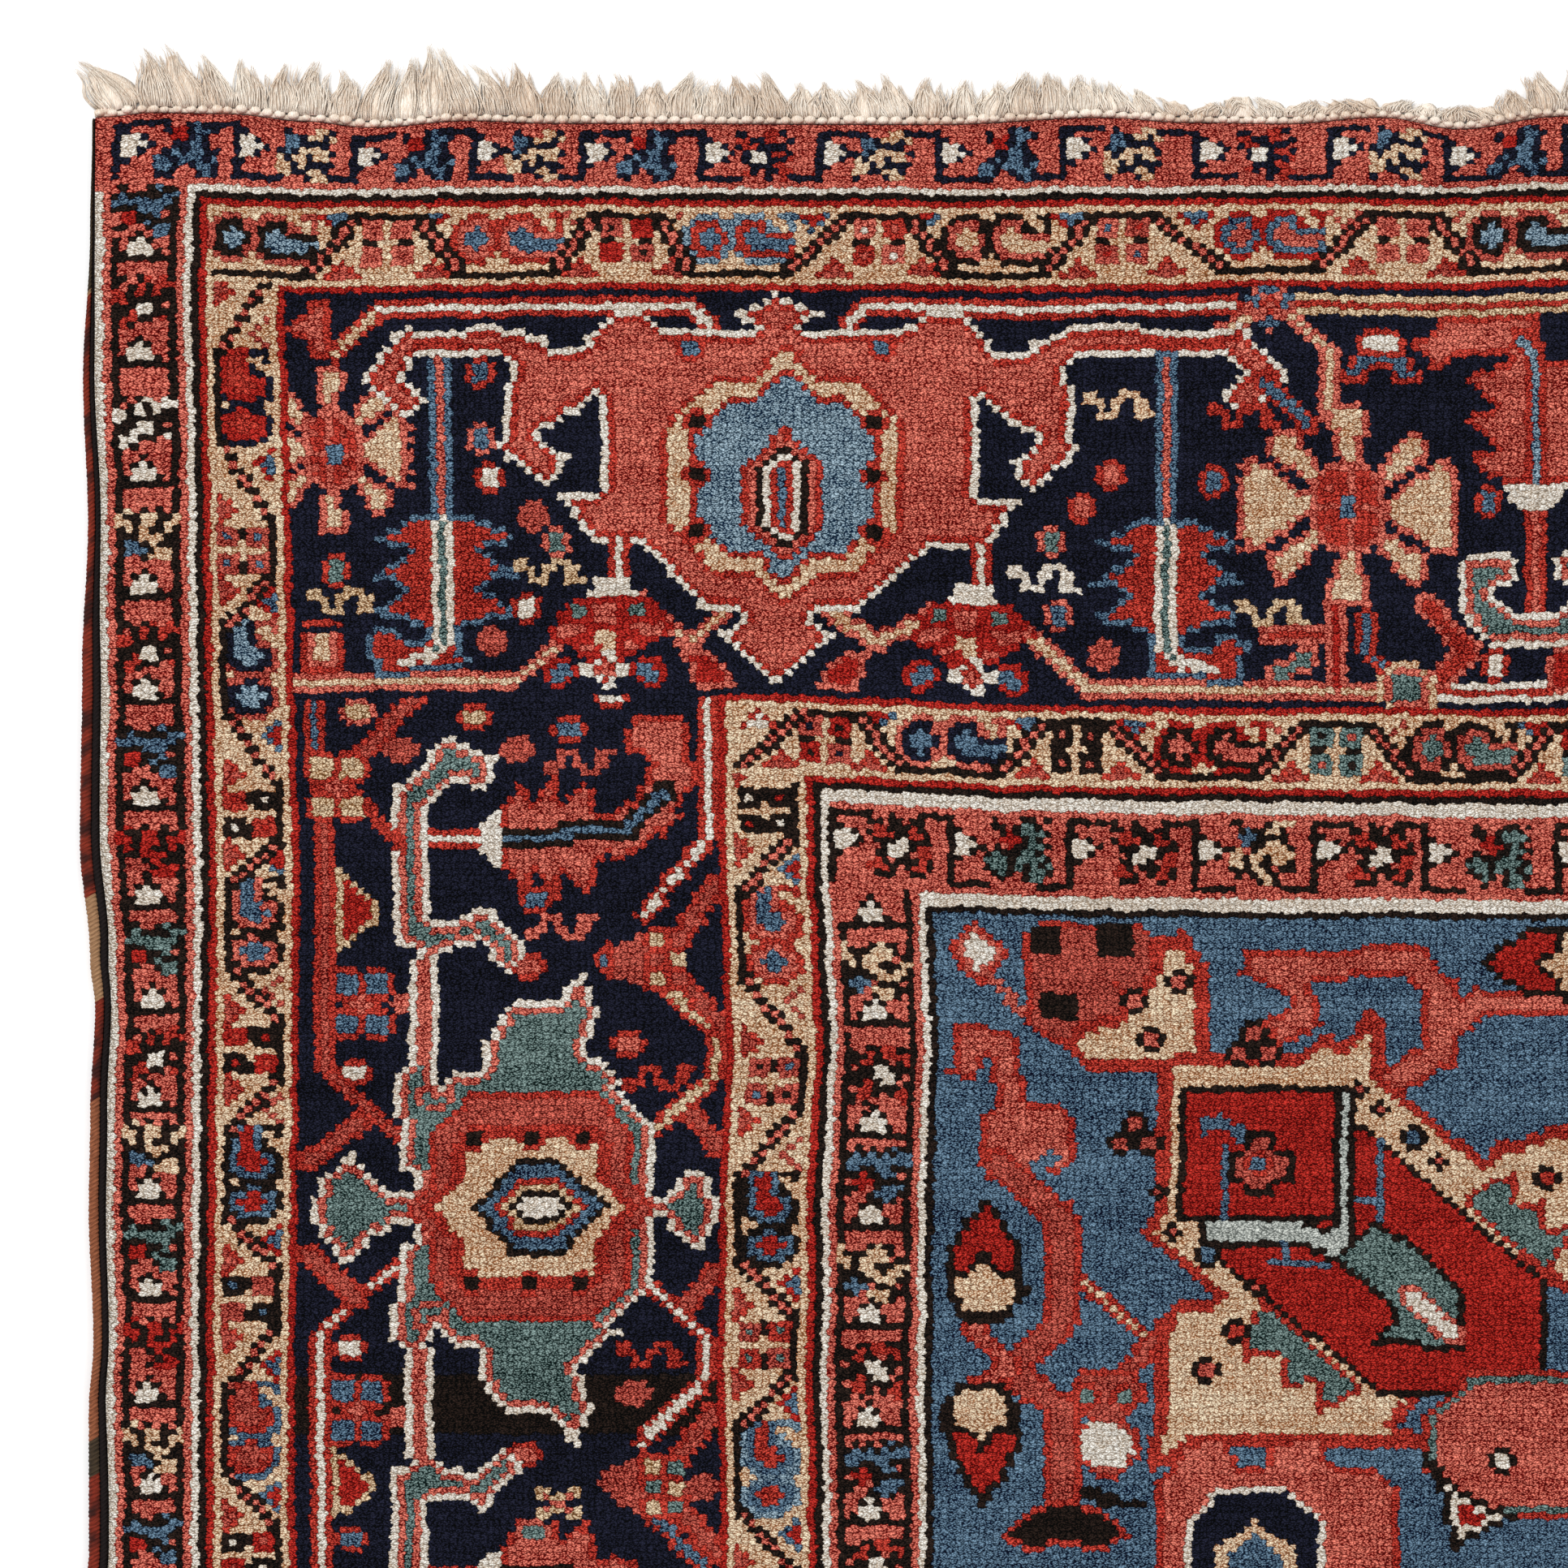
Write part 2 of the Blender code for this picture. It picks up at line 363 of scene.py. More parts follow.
# g: the ring, o: the outline, f: the filling
CARTOUCHE = (
    "..ggg..gggg.cgg",
    ".gooogggooogccg",
    "goofoggoofoggcg",
    "gofffogofffoooo",
    "gofffogofffffff",
    "goofoggoofffffo",
    ".gooogcgooooooo",
    "..ggg.ccggggggg",
)
FOUR_SQUARES = (
    "ggg.ooo",
    "gfg.oho",
    "ggg.ooo",
    "dd...dd",
    "ooo.ggg",
    "oho.gfg",
    "ooo.ggg",
)
TRIANGLE = (
    "ghhhg",
    ".ghg.",
    "..g..",
)
S_HOOK = (
    "ff...fff..",
    "fff.ff.ff.",
    "..f.f..ff.",
    "..fff..fff",
)
CHECKER = (
    "....rrrrrrrrrrr....",
    "...rttrsssrrttrr...",
    "..rrttrsssrrttrrr..",
    "..rrrrrsssrrrrrrr..",
    ".rssssrrrrrrsssssr.",
    ".rsssrrcccrrrsssr..",
    "..rrrrrcccrrrrrr...",
    "....rssrccrssr.....",
    ".....rrrrrrrr......",
    ".rrr..rrsrr..rrr...",
    "rrbbr..rsr..rbbrr..",
    "rbbbr.......rbbbr..",
    "rbbr.........rbbr..",
    ".rr...........rr...",
)
STAR = (
    "...ii...",
    "..imi...",
    "iimsmii.",
    "iisssii.",
    "..imi...",
    "...ii...",
)
FOUR_PETALS = (
    "..sbs..",
    "..sbs..",
    ".sbbbs.",
    "bbsmsbb",
    "sbmsmbs",
    ".ssmss.",
    "..sbs..",
    "..bbb..",
    "...s...",
)
CHECKS = (
    "......mmmmmm",
    "....oomaamtt",
    "..oooomaamtt",
    ".ooooommmmmm",
    "oooooomttmaa",
    ".ooooomttmaa",
    "..ooooommmmm",
    "...ooomaamtt",
    ".....omaamtt",
    ".......mmmmm",
)
FOUR_DOTS = (
    "aa..aa",
    "asaasa",
    "..ss..",
    "asaasa",
    "aa..aa",
)
LANTERN = (
    "...mmmmm...",
    "..miiiiim..",
    "..miiiiim..",
    "..mmmmmmm..",
    ".mbbbbbbbm.",
    ".mbbmmmbbm.",
    "mbbm...mbbm",
    "mmmm...mmmm",
)
FOUR_BLOSSOM = (
    ".mmm...mmm.",
    "mfffm.mfffm",
    "mfffmmmfffm",
    "mfffmsmfffm",
    ".mmmsssmmm.",
    "mfffmsmfffm",
    "mfffmmmfffm",
    "mfffm.mfffm",
    ".mmm...mmm.",
)
# h: heart, r: rim
BLOSSOM = (
    ".rr.",
    "rhhr",
    "rhhr",
    "rhhr",
    ".rr.",
)
SPIRAL = (
    ".sss",
    "s..s",
    "s.ss",
    "s...",
    ".sss",
)
PIP = (
    ".rr.",
    "rhhr",
    "rhhr",
    ".rr.",
)
EYELET = (
    ".d.",
    "dhd",
    ".d.",
)


def end_part(quarter, border):
    """The part of a border that runs along the end, its corner included."""
    (first_row, end_row), (first_col, _) = border
    return quarter[first_row:end_row, first_col:]


def side_part(quarter, border):
    """The part of a border that runs down the side, from under its corner."""
    (_, end_row), (first_col, end_col) = border
    return quarter[end_row:, first_col:end_col]


def onwards(places, start, step, end):
    """The places, counted from the start, and then more at the same step until the end."""
    places = list(places)
    while places[-1] < end:
        places.append(places[-1] + step)
    return [place - start for place in places]


def from_far_end(places, length):
    """The places, counted from the other end of a strip of this length."""
    return [length - place for place in places][::-1]


def in_turn(items, count):
    """This many of the items, over and over, with the last one first."""
    return [items[i % len(items)] for i in range(count)][::-1]


def stamp(strip, drawing, row, col, **swap):
    """Puts a small figure on a strip of border, leaving the strip as it is under its dots."""
    for i, line in enumerate(drawing):
        for j, letter in enumerate(line):
            if letter != "." and 0 <= row + i < strip.shape[0] and 0 <= col + j < strip.shape[1]:
                strip[row + i, col + j] = WOOL[swap.get(letter) or LETTERS[letter]]


def stamp_round(strip, drawing, row, middle, **swap):
    """The same, with the figure's middle column given."""
    stamp(strip, drawing, row, middle - len(drawing[0]) // 2, **swap)


# Guard borders, in knots
TURN_STEP = 16  # between the turns of the line, past those that are listed
LINE_AFTER_TURN = 6  # the line runs on for this long, and starts this long before the next turn
LINE_BEFORE_TURN = 4
IVORY_RISE = 3  # from the strip's middle up to the top of an ivory point
FLOWER_SHIFT = 1.5  # from the middle of its bend


def guard_strip(strip, turns, flowers, line):
    """A line that goes from edge to edge at each turn, with a flower in each of its bends."""
    deep = strip.shape[0]
    tall = "tall " if deep > len(GUARD_FLOWERS["tall leaf"]) else ""
    for i, (turn, following) in enumerate(zip(turns, turns[1:])):
        side = 1 if i % 2 == 0 else deep - 2
        strip[1 : deep - 1, max(0, turn)] = WOOL[line]
        strip[side, max(0, turn) : turn + LINE_AFTER_TURN] = WOOL[line]
        strip[side, following - LINE_BEFORE_TURN : following] = WOOL[line]
        stamp(strip, GUARD_IVORY, deep // 2 - IVORY_RISE, turn + 1, l=line)
        kind, wool, other = flowers[i % len(flowers)]
        drawing = GUARD_FLOWERS[tall + kind]
        col = round((turn + following) / 2 + FLOWER_SHIFT - len(drawing[0]) / 2)
        stamp(strip, drawing, (deep - len(drawing)) // 2, col, l=line, f=wool, h=other)


def guard_border(quarter, border, line, along_end, down_side):
    """A guard border. Its two parts each list the line's turns, and the flowers between them."""
    (_, end_row), (first_col, _) = border
    turns, flowers = along_end
    turns = onwards(turns, first_col, TURN_STEP, HALF_ACROSS)
    guard_strip(end_part(quarter, border), turns, flowers, line)

    # The side is drawn from its far end, as its flowers stand the other way up
    turns, flowers = down_side
    strip = side_part(quarter, border).T[:, ::-1]
    turns = onwards(turns, end_row, TURN_STEP, HALF_ALONG + TURN_STEP)
    turns = from_far_end(turns, strip.shape[1])
    guard_strip(strip, turns, in_turn(flowers, len(turns) - 1), "dark")


# Flowers: drawing, its wool and its other wool
BLUE_LEAF = ("leaf", "blue", "madder")
TEAL_LEAF = ("leaf", "teal", "red")
CAMEL_BRANCH = ("branch", "camel", "blue")
RED_BRANCH = ("branch", "red", "coral")
MADDER_CROSS = ("cross", "madder", "red")
IVORY_CROSS = ("cross", "ivory", "dark")

# Guard borders: where the line turns, and the flowers in its bends
OUTER_GUARD_END = (
    (2, 17, 33, 49, 64, 80, 96, 112, 129, 147, 165, 181),
    (BLUE_LEAF, CAMEL_BRANCH, BLUE_LEAF, CAMEL_BRANCH, BLUE_LEAF, MADDER_CROSS,
     CAMEL_BRANCH, BLUE_LEAF, CAMEL_BRANCH, MADDER_CROSS, CAMEL_BRANCH),
)
OUTER_GUARD_SIDE = (
    (9, 22, 38, 56, 73, 89, 105, 120, 136, 151, 165, 180, 196, 210),
    (BLUE_LEAF, MADDER_CROSS, IVORY_CROSS, CAMEL_BRANCH, MADDER_CROSS, BLUE_LEAF, RED_BRANCH,
     TEAL_LEAF, MADDER_CROSS, CAMEL_BRANCH, TEAL_LEAF, RED_BRANCH, CAMEL_BRANCH, BLUE_LEAF),
)
INNER_GUARD_END = (
    (98, 114, 130, 147, 163, 178, 196),
    (MADDER_CROSS, TEAL_LEAF, MADDER_CROSS, CAMEL_BRANCH, MADDER_CROSS, TEAL_LEAF),
)
INNER_GUARD_SIDE = (
    (105, 123, 138, 155, 169, 184, 200, 214),
    (MADDER_CROSS, CAMEL_BRANCH, MADDER_CROSS, BLUE_LEAF, CAMEL_BRANCH, MADDER_CROSS, BLUE_LEAF),
)

# Tan borders, in knots
END_REPEAT = 34  # from one cartouche to the next, past those that are listed
SIDE_REPEAT = 39
CARTOUCHE_TO_TRIANGLE = 10
SQUARES_TO_TRIANGLE = 6
LINE_UNDER_CARTOUCHE = 6  # half of the line's level stretches
LINE_OVER_SQUARES = 4
TRIANGLE_WOOLS = (("blue", "red"), ("red", "blue"), ("coral", "camel"))
STEP, LAST_STEP = ("dsd",), ("ddd",)


def tan_line(strip, cartouches, squares):
    """A line that steps from under each cartouche to above each group of squares."""
    low = strip.shape[0] - 2
    steps = low - 1
    stops = [(at, low, LINE_UNDER_CARTOUCHE) for at in cartouches]
    stops = sorted(stops + [(at, 1, LINE_OVER_SQUARES) for at in squares])
    for at, depth, half in stops:
        strip[depth, max(0, at - half) : max(0, at + half + 1)] = WOOL["dark"]
    for (at, depth, half), (next_at, next_depth, next_half) in zip(stops, stops[1:]):
        for step in range(steps + 1):
            row = depth + (next_depth - depth) * step // steps
            col = round(at + half + (next_at - next_half - at - half) * step / steps)
            stamp_round(strip, STEP if 0 < step < steps else LAST_STEP, row, col)


def tan_strip(strip, cartouches, squares, cartouche_wools, square_wools):
    """Cartouches and groups of four squares in turn, each between two triangles."""
    deep = strip.shape[0]
    for i, at in enumerate(cartouches):
        ring, outline, filling = by_letter(cartouche_wools[i % len(cartouche_wools)])
        stamp_round(strip, CARTOUCHE, 1, at, g=ring, o=outline, f=filling)
        for side in (0, 1):
            first, second = TRIANGLE_WOOLS[(i + side) % len(TRIANGLE_WOOLS)]
            middle = at + (2 * side - 1) * CARTOUCHE_TO_TRIANGLE
            stamp_round(strip, TRIANGLE, 1, middle, g=first, h=second)
    for i, at in enumerate(squares):
        first, second, heart, other = by_letter(square_wools[i % len(square_wools)])
        stamp_round(strip, FOUR_SQUARES, 2, at, g=first, o=second, f=heart, h=other)
        for middle in (at - SQUARES_TO_TRIANGLE, at + SQUARES_TO_TRIANGLE):
            row = deep - 1 - len(TRIANGLE)
            stamp_round(strip, TRIANGLE[::-1], row, middle, g="madder", h="coral")
    tan_line(strip, cartouches, squares)


def tan_border(quarter, border, along_end, down_side):
    """A tan border. Its parts each list cartouches, squares, and the wools of both."""
    (_, end_row), (first_col, _) = border
    cartouches, squares, *wools = along_end
    cartouches = onwards(cartouches, first_col, END_REPEAT, HALF_ACROSS)
    squares = onwards(squares, first_col, END_REPEAT, HALF_ACROSS)
    tan_strip(end_part(quarter, border), cartouches, squares, *wools)

    cartouches, squares, wools, square_wools = down_side
    strip = side_part(quarter, border).T[::-1, ::-1]
    length = strip.shape[1]
    cartouches = from_far_end(onwards(cartouches, end_row, SIDE_REPEAT, HALF_ALONG), length)
    squares = from_far_end(onwards(squares, end_row, SIDE_REPEAT, HALF_ALONG), length)
    wools = in_turn(wools, len(cartouches))
    tan_strip(strip, cartouches, squares, wools, in_turn(square_wools, len(squares)))


# Tan borders: cartouches, groups of squares, and their wools by letter. A cartouche has a ring,
# an outline and a filling, and a group of squares has two rings and two hearts.
OUTER_TAN_END = (
    (21, 54, 85, 120, 157),
    (38, 70, 104, 137, 175),
    ("odk", "msb", "kmb", "dsc", "rbs"),
    ("ssoo", "ordr", "smio", "sobr"),
)
OUTER_TAN_SIDE = (
    (43, 84, 123, 161, 200),
    (21, 66, 106, 142, 180, 219),
    ("nrm", "onk", "dsb", "dbr", "bmo"),
    ("oobb", "oobb", "mdri", "rdmr", "dobo", "drio"),
)
INNER_TAN_END = (
    (114, 149, 183),
    (97, 131, 166, 200),
    ("snb", "rds", "dot"),
    ("ornd", "ddso", "ttdo", "rtoo"),
)
INNER_TAN_SIDE = (
    (125, 168, 206),
    (106, 147, 187),
    ("msb", "dbr", "kbm"),
    ("ddir", "oodb", "omtt"),
)


def narrow_borders(quarter):
    """The guard and tan borders, along the end and then down the side."""
    guard_border(quarter, OUTER_GUARD, "navy", OUTER_GUARD_END, OUTER_GUARD_SIDE)
    guard_border(quarter, INNER_GUARD, "dark", INNER_GUARD_END, INNER_GUARD_SIDE)
    tan_border(quarter, OUTER_TAN, OUTER_TAN_END, OUTER_TAN_SIDE)
    tan_border(quarter, INNER_TAN, INNER_TAN_END, INNER_TAN_SIDE)

    # The line steps up into the inner tan border's corner, with a triangle behind it
    corner = end_part(quarter, INNER_TAN)
    steps = corner.shape[0] - 2
    for step in range(steps):
        stamp(corner, STEP, steps - step, 1 + step)
    stamp(corner, TRIANGLE[::-1], 1, 2, g="madder", h="ivory")


# --- Shapes that the motifs are put together from -------------------------------------------


def bar(start, end, width):
    """A straight bar's outline. Its square ends reach half its width past start and end."""
    (xa, ya), (xb, yb) = start, end
    share = width / 2 / math.hypot(xb - xa, yb - ya)
    x, y = (xb - xa) * share, (yb - ya) * share
    return [
        (xa - x - y, ya - y + x),
        (xb + x - y, yb + y + x),
        (xb + x + y, yb + y - x),
        (xa - x + y, ya - y - x),
    ]


def bars(points, width):
    return [bar(start, end, width) for start, end in zip(points, points[1:])]


def both(parts):
    """The parts and their mirror images."""
    return [*parts, *[[(-x, y) for x, y in part] for part in parts]]


def cut_box(x, y, wide, tall, cut):
    """A box with its corners cut off."""
    out, up = wide / 2, tall / 2
    side = [(out - cut, -up), (out, cut - up), (out, up - cut), (out - cut, up)]
    return [(x + px, y + py) for px, py in mirrored(side)]


def shield(half, top, foot, cut, point):
    """A box with cut corners that comes to a small point above and below."""
    return mirrored([(0, top - point), (point, top), (half - cut, top), (half, top + cut),
                     (half, foot - cut), (half - cut, foot), (point, foot), (0, foot + point)])


def saw_leaf(root, tip, teeth, inner, outer):
    """A leaf along y with even teeth down both sides, leaning towards its tip."""
    step = (tip - root) / teeth
    side = [(inner * 0.7, root)]
    for i in range(teeth):
        side += [(outer, root + (i + 0.75) * step), (inner, root + (i + 1) * step)]
    return mirrored(side)


def saw(start, end, teeth, depth):
    """A strip with even teeth along one side of the line from start to end."""
    (xa, ya), (xb, yb) = start, end
    points = [start]
    for i in range(teeth):
        for share, out in ((i + 0.1, 0.5), (i + 0.6, 1.0)):
            share /= teeth
            x, y = xa + (xb - xa) * share, ya + (yb - ya) * share
            reach = depth * out / math.hypot(xb - xa, yb - ya)
            points.append((x - (yb - ya) * reach, y + (xb - xa) * reach))
    return [*points, end]


# --- Motifs of the main border --------------------------------------------------------------


def turtle(pen, left_arm, right_arm, spread):
    """The great salmon palmette of the end borders, with its shield."""
    half = [
        [(0, -23.6), (6, -20.8), (2.4, -19.6), (2.4, -18), (0, -18)],
        cut_box(18, -16, 11, 10, 3.4),
        [(18, -16), (27, -16.4), (33, -18), (33, -6), (28, -7), (24, -9)],
        *bars([(31, -12), (31.6, -5), (28.6, -2.6)], 4.4),
        [(18, 1.6), (27, 1.6), (23, 7.4), (16, 8)],
        [(0, 14), (5, 15), (4.4, 17.4), (7.4, 18.6), (2, 23), (0, 25)],
        [(0, -18.8), (15, -18.8), (21.6, -13), (21.6, 2), (17, 7), (9, 16), (0, 16)],
    ]
    parts = []
    for side, arm, wider in ((-1, left_arm, 0), (1, right_arm, spread)):
        elbow = [(30, -16.4), (35, -17.6), (arm + 4, -17.2), (arm + 7.6, -13.4), (arm + 4.4, -10.6)]
        for part in half + bars(elbow, 3.8):
            parts.append([(side * (x + wider * (x > 14)), y) for x, y in part])
    pen.joined(parts, "ivory", "madder", "salmon")
    middle = pen.at(spread / 3, 0)
    middle.shape(shield(15, -13.6, 11.6, 6.4, 4), "madder", "camel")
    middle.shape(shield(11.4, -11, 9.2, 4.4, 3.6), "madder", "sky")
    for side in (-1, 1):
        for y in (-7.6, -0.8, 6.0):
            middle.figure(PIP, side * 10.6, y, r="madder", h="dark")
        middle.figure(PIP, side * 11.8, -16.8, r="madder", h="blue")
    core = mirrored([(0, -7), (5, -2), (5, 5), (0, 10)])
    middle.shape(core, "madder", "salmon", "dark", "ivory", "madder", "blue")


def stem_flower(pen):
    """A checkered bell on an ivory stem, hung from the palmette."""
    pen.line([(0.6, -10.2), (0.6, -3.5)], 2.4, "madder", "ivory")
    pen.shape([(-1.8, -5.4), (1.8, -5.4), (4, -2.2), (-4, -2.2)], "ivory")
    pen.figure(CHECKER, 0, 2.8)
    pen.figure(STAR, 0, 6.0)


def long_leaf(pen):
    """A serrated leaf standing on a long stem, its foot curled to one side."""
    pen.line([(0, -15), (0, 3)], 2.9, "blue", "salmon")
    foot = bars([(0, 16), (0, 20.5), (-7, 21.6), (-7.6, 19.8)], 4.4)
    pen.joined([saw_leaf(3.5, 17, 3, 4.2, 9.4), *foot], "blue", "madder")
    pen.line([(0, 5), (0, 19.4), (-2, 20.8)], 2.4, "ivory", "teal")
    pen.line([(-2, 20.8), (-6, 21.6)], 1.0, "ivory")


def rosette(pen, across=1.0, up=1.0, down=1.0):
    """Eight camel petals round a red heart, the outer edges of two of them notched."""

    def place(points):
        return [(x * across, y * (down if y > 0 else up)) for x, y in points]

    petals = ((0, 2.7, 12), (math.pi, 2.7, 12), (math.pi / 2, 5.6, 13.4), (-math.pi / 2, 5.6, 13.4))
    petals += tuple((math.pi * share, 2.1, 12.6) for share in (0.27, 0.73, 1.27, 1.73))
    for angle, half, reach in petals:
        petal = mirrored([(0.7, 4.0), (half, 0.8 * reach), (half, 0.94 * reach), (half * 0.6, reach)])
        pen.shape(place(turned(petal, angle)), "salmon", "camel")
    for side in (-1, 1):
        for i in range(-3, 4):
            pen.line(place([(side * 13.4, i * 1.7)] * 2), 0.6, "salmon")
    pen.shape(place(cut_box(0, 0, 9.4, 10.4, 2.4)), "salmon", "madder")
    for line in ([(0, -5), (0, 5)], [(-4.6, 0), (4.6, 0)]):
        pen.line(place(line), 0.9, "salmon")
    for x, y in ((-2.6, -2.4), (2.6, -2.4), (-2.6, 2.4), (2.6, 2.4)):
        pen.line(place([(x, y)] * 2), 0.9, "coral")
    pen.line([(-0.6, 0.2), (0.6, 0.2)], 1.7, "blue")


def cup_palmette(pen):
    """A serrated leaf that bends over at its tip, in an ivory cup on a stem between two curls."""
    tip = bars([(0, -14), (-2, -18.4), (-10, -18.4), (-12, -17.2)], 4.4)
    pen.joined([saw_leaf(-0.4, -15, 3, 4.8, 8.8), *tip], "madder", "salmon")
    pen.line([(0, -1.2), (0.4, -15.6), (-2, -18)], 2.6, "madder", "sky")
    pen.line([(0, 1), (0, 14.4)], 2.9, "madder", "salmon")
    pen.shape(mirrored([(4, -0.4), (2.2, 2.4)]), "ivory")
    curl = [(4.4, 9.2), (7.6, 9.2), (7.6, 13), (4.6, 16.6)]
    pen.line([*[(-x, y) for x, y in curl], *curl[::-1]], 4.6, "ivory", "salmon", "teal")


def scatter(pen, blossoms):
    """Small flowers: their places, and the letters of their rim's and their heart's wool."""
    for x, y, wools in blossoms:
        rim, heart = by_letter(wools)
        pen.figure(BLOSSOM, x, y, r=rim, h=heart)


def vine(pen, points, heart="ivory", rim="madder"):
    pen.line(points, 2.4, rim, heart)


TOP_BLOSSOMS = (
    (59.8, 46.0, "mb"), (59.5, 54.2, "sb"), (60.9, 59.4, "mi"), (65.6, 63.8, "oo"),
    (68.6, 66.9, "st"), (64.8, 75.3, "mi"), (60.5, 79.3, "oo"), (41.6, 70.2, "mt"),
    (133.6, 62.4, "ms"), (137.0, 58.5, "ms"), (130.0, 66.6, "st"), (130.8, 75.7, "sb"),
    (136.2, 80.0, "oo"), (149.8, 59.6, "mb"), (183.0, 61.4, "mb"), (184.4, 81.0, "mi"),
    (203.4, 78.4, "mi"), (219.0, 79.6, "mb"), (235.0, 62.0, "mi"), (234.0, 74.0, "st"),
    (202.0, 46.0, "ma"),
)


def end_vines(pen):
    """The vines along the end border's edges, and those that rise from them."""
    vine(pen, [(41.8, 44.2), (47.4, 38.4)], "camel")
    vine(pen, [(47.4, 38.4), (86, 38.4), (88.6, 41.4)])
    vine(pen, [(104, 41.4), (106.4, 38.4), (152, 38.4)])
    vine(pen, [(153.6, 39.6), (149.6, 42.4)], "camel", "salmon")
    vine(pen, [(160, 38.4), (222, 38.4)], "madder", "sand")
    vine(pen, [(36, 84.3), (63.6, 84.3), (70.8, 77.5)], "camel", "salmon")
    vine(pen, [(125.5, 76), (134, 84.3), (171.5, 84.3)], "camel", "salmon")
    vine(pen, [(176.6, 84.3), (232, 84.3)], "madder", "ivory")
    vine(pen, [(79.5, 74.5), (86, 80.6)], "camel", "salmon")
    vine(pen, [(88.8, 76.4), (84.4, 80)], "camel", "salmon")
    vine(pen, [(103.2, 76.4), (108.6, 79.4), (116, 75)], "camel", "salmon")
    for side in (-1, 1):
        pen.at(96, 83, flip=side).shape([(12, -3), (8, -2), (4, 2.5), (10, 2.5)], "salmon", "red")


def end_corner(pen):
    """The small rosette in the rug's corner and what stands round it."""
    rosette(pen.at(41.3, 55.6), 0.72, 0.86, 0.88)
    arrow = [*bars([(40.4, 38), (40.4, 43)], 2.6), [(40, 37.6), (36, 40.4), (40, 43.4)]]
    pen.joined(arrow, "madder", "salmon")
    pen.figure(S_HOOK, 42.4, 74.2, f="sand")
    pen.shape(cut_box(39.6, 79.6, 4.8, 6.4, 0), "madder", "salmon", "camel")
    pen.line([(37.4, 77.6), (41.6, 77.6)], 0.9, "navy")


def first_rosette(pen):
    """The first whole rosette of the end border, with the stems and buds round it."""
    pen.line([(155.8, 46.8), (161.4, 53)], 2.6, "madder", "blue")
    vine(pen, [(157.6, 38.6), (164.2, 43.6), (164.2, 52)], "camel", "salmon")
    rosette(pen.at(166.2, 62.3))
    pen.figure(FOUR_PETALS, 156.6, 38.4)
    pen.line([(165, 75.6), (165, 83)], 3.4, "salmon", "red")
    pen.line([(156.4, 78), (163, 78)], 3.0, "salmon", "madder")
    pen.line([(157, 82.4), (161.4, 80.6)], 3.0, "salmon", "teal")
    pen.line([(176, 73.6), (181, 79.2), (177.6, 83)], 2.9, "salmon", "madder")
    pen.line([(168.4, 75), (168.4, 79.4), (173, 83.2)], 2.4, "madder", "blue")
    pen.shape(cut_box(173.6, 84, 7, 6, 1.6), "camel", "salmon", "teal")
    pen.figure(LANTERN, 169.8, 44.2)


END_HOOKS = (
    (68.0, 70.8, "sand"),
    (128.4, 70.8, "ivory"),
    (137.6, 50, "camel"),
    (156.8, 74.8, "sand"),
    (153.4, 51.4, "madder"),
)


def end_border(pen):
    """The main border along the end, from the corner to the rug's middle."""
    end_vines(pen)
    end_corner(pen)
    long_leaf(pen.at(55, 60))
    turtle(pen.at(96, 60), 41.0, 49.8, 2.8)
    stem_flower(pen.at(75.5, 77.2))
    stem_flower(pen.at(120.2, 77.2))
    for x, y, wool in END_HOOKS:
        pen.figure(S_HOOK, x, y, f=wool)
    long_leaf(pen.at(144, 60, flip=-1))

    first_rosette(pen)
    cup_palmette(pen.at(189.3, 60.4))
    pen.shape(cut_box(194, 82, 7, 6, 1.6), "salmon", "red")
    scatter(pen, TOP_BLOSSOMS)

    rosette(pen.at(211, 62))
    long_leaf(pen.at(226.5, 60))
    turtle(pen.at(AXIS_X, 60), 34.0, 34.0, 0)
    stem_flower(pen.at(AXIS_X - 20, 77.4))


# --- The side border ------------------------------------------------------------------------


def side_turtle(pen, ground, frame_wool, heart):
    """The palmette of the side borders: its eight-sided shield, arms and two finials."""
    half = [
        [(0, -27.4), (4, -25.6), (7, -22.4), (4, -19.6), (2, -17), (2, -14), (0, -14)],
        *bars([(6, -14.4), (34, -13)], 3.4),
        cut_box(14, -14.6, 7, 5.4, 1.4),
        *bars([(34, -14.6), (50, -14.6), (55.4, -9.6), (54, -6.6)], 4.4),
        *bars([(33, -12), (34.6, -6), (31.6, -3)], 3.8),
        [(15, -7), (22, -5.6), (25.6, -2), (25.6, 3), (29.2, 6), (24.4, 8.2), (19, 6.4), (15, 12)],
        [(0, -14), (12, -14), (17, -9), (17, 7), (10, 15.4), (0, 15.4)],
        [(0, 14), (1.4, 17), (4.8, 20), (4.8, 22), (0, 24)],
    ]
    pen.joined(both(half), "ivory", "salmon", ground)
    for side in (-1, 1):
        pen.at(0, 0, flip=side).figure(SPIRAL, 13.4, -12.4)
    pen.shape(shield(14, -12.6, 13, 5, 3), "madder", frame_wool)
    pen.shape(shield(10, -10.2, 10.4, 2.6, 3.4), "madder", "madder", heart)
    for side in (-1, 1):
        for y in (-6.8, 0.4, 6.8):
            pen.figure(PIP, side * 8.8, y, r="madder", h="dark")
    eye = mirrored([(0, -7), (6.2, -1.6), (6.2, 3.6), (0, 10)])
    pen.shape(eye, "dark", "blue", "blue", "madder", "sand", "dark", "ivory")


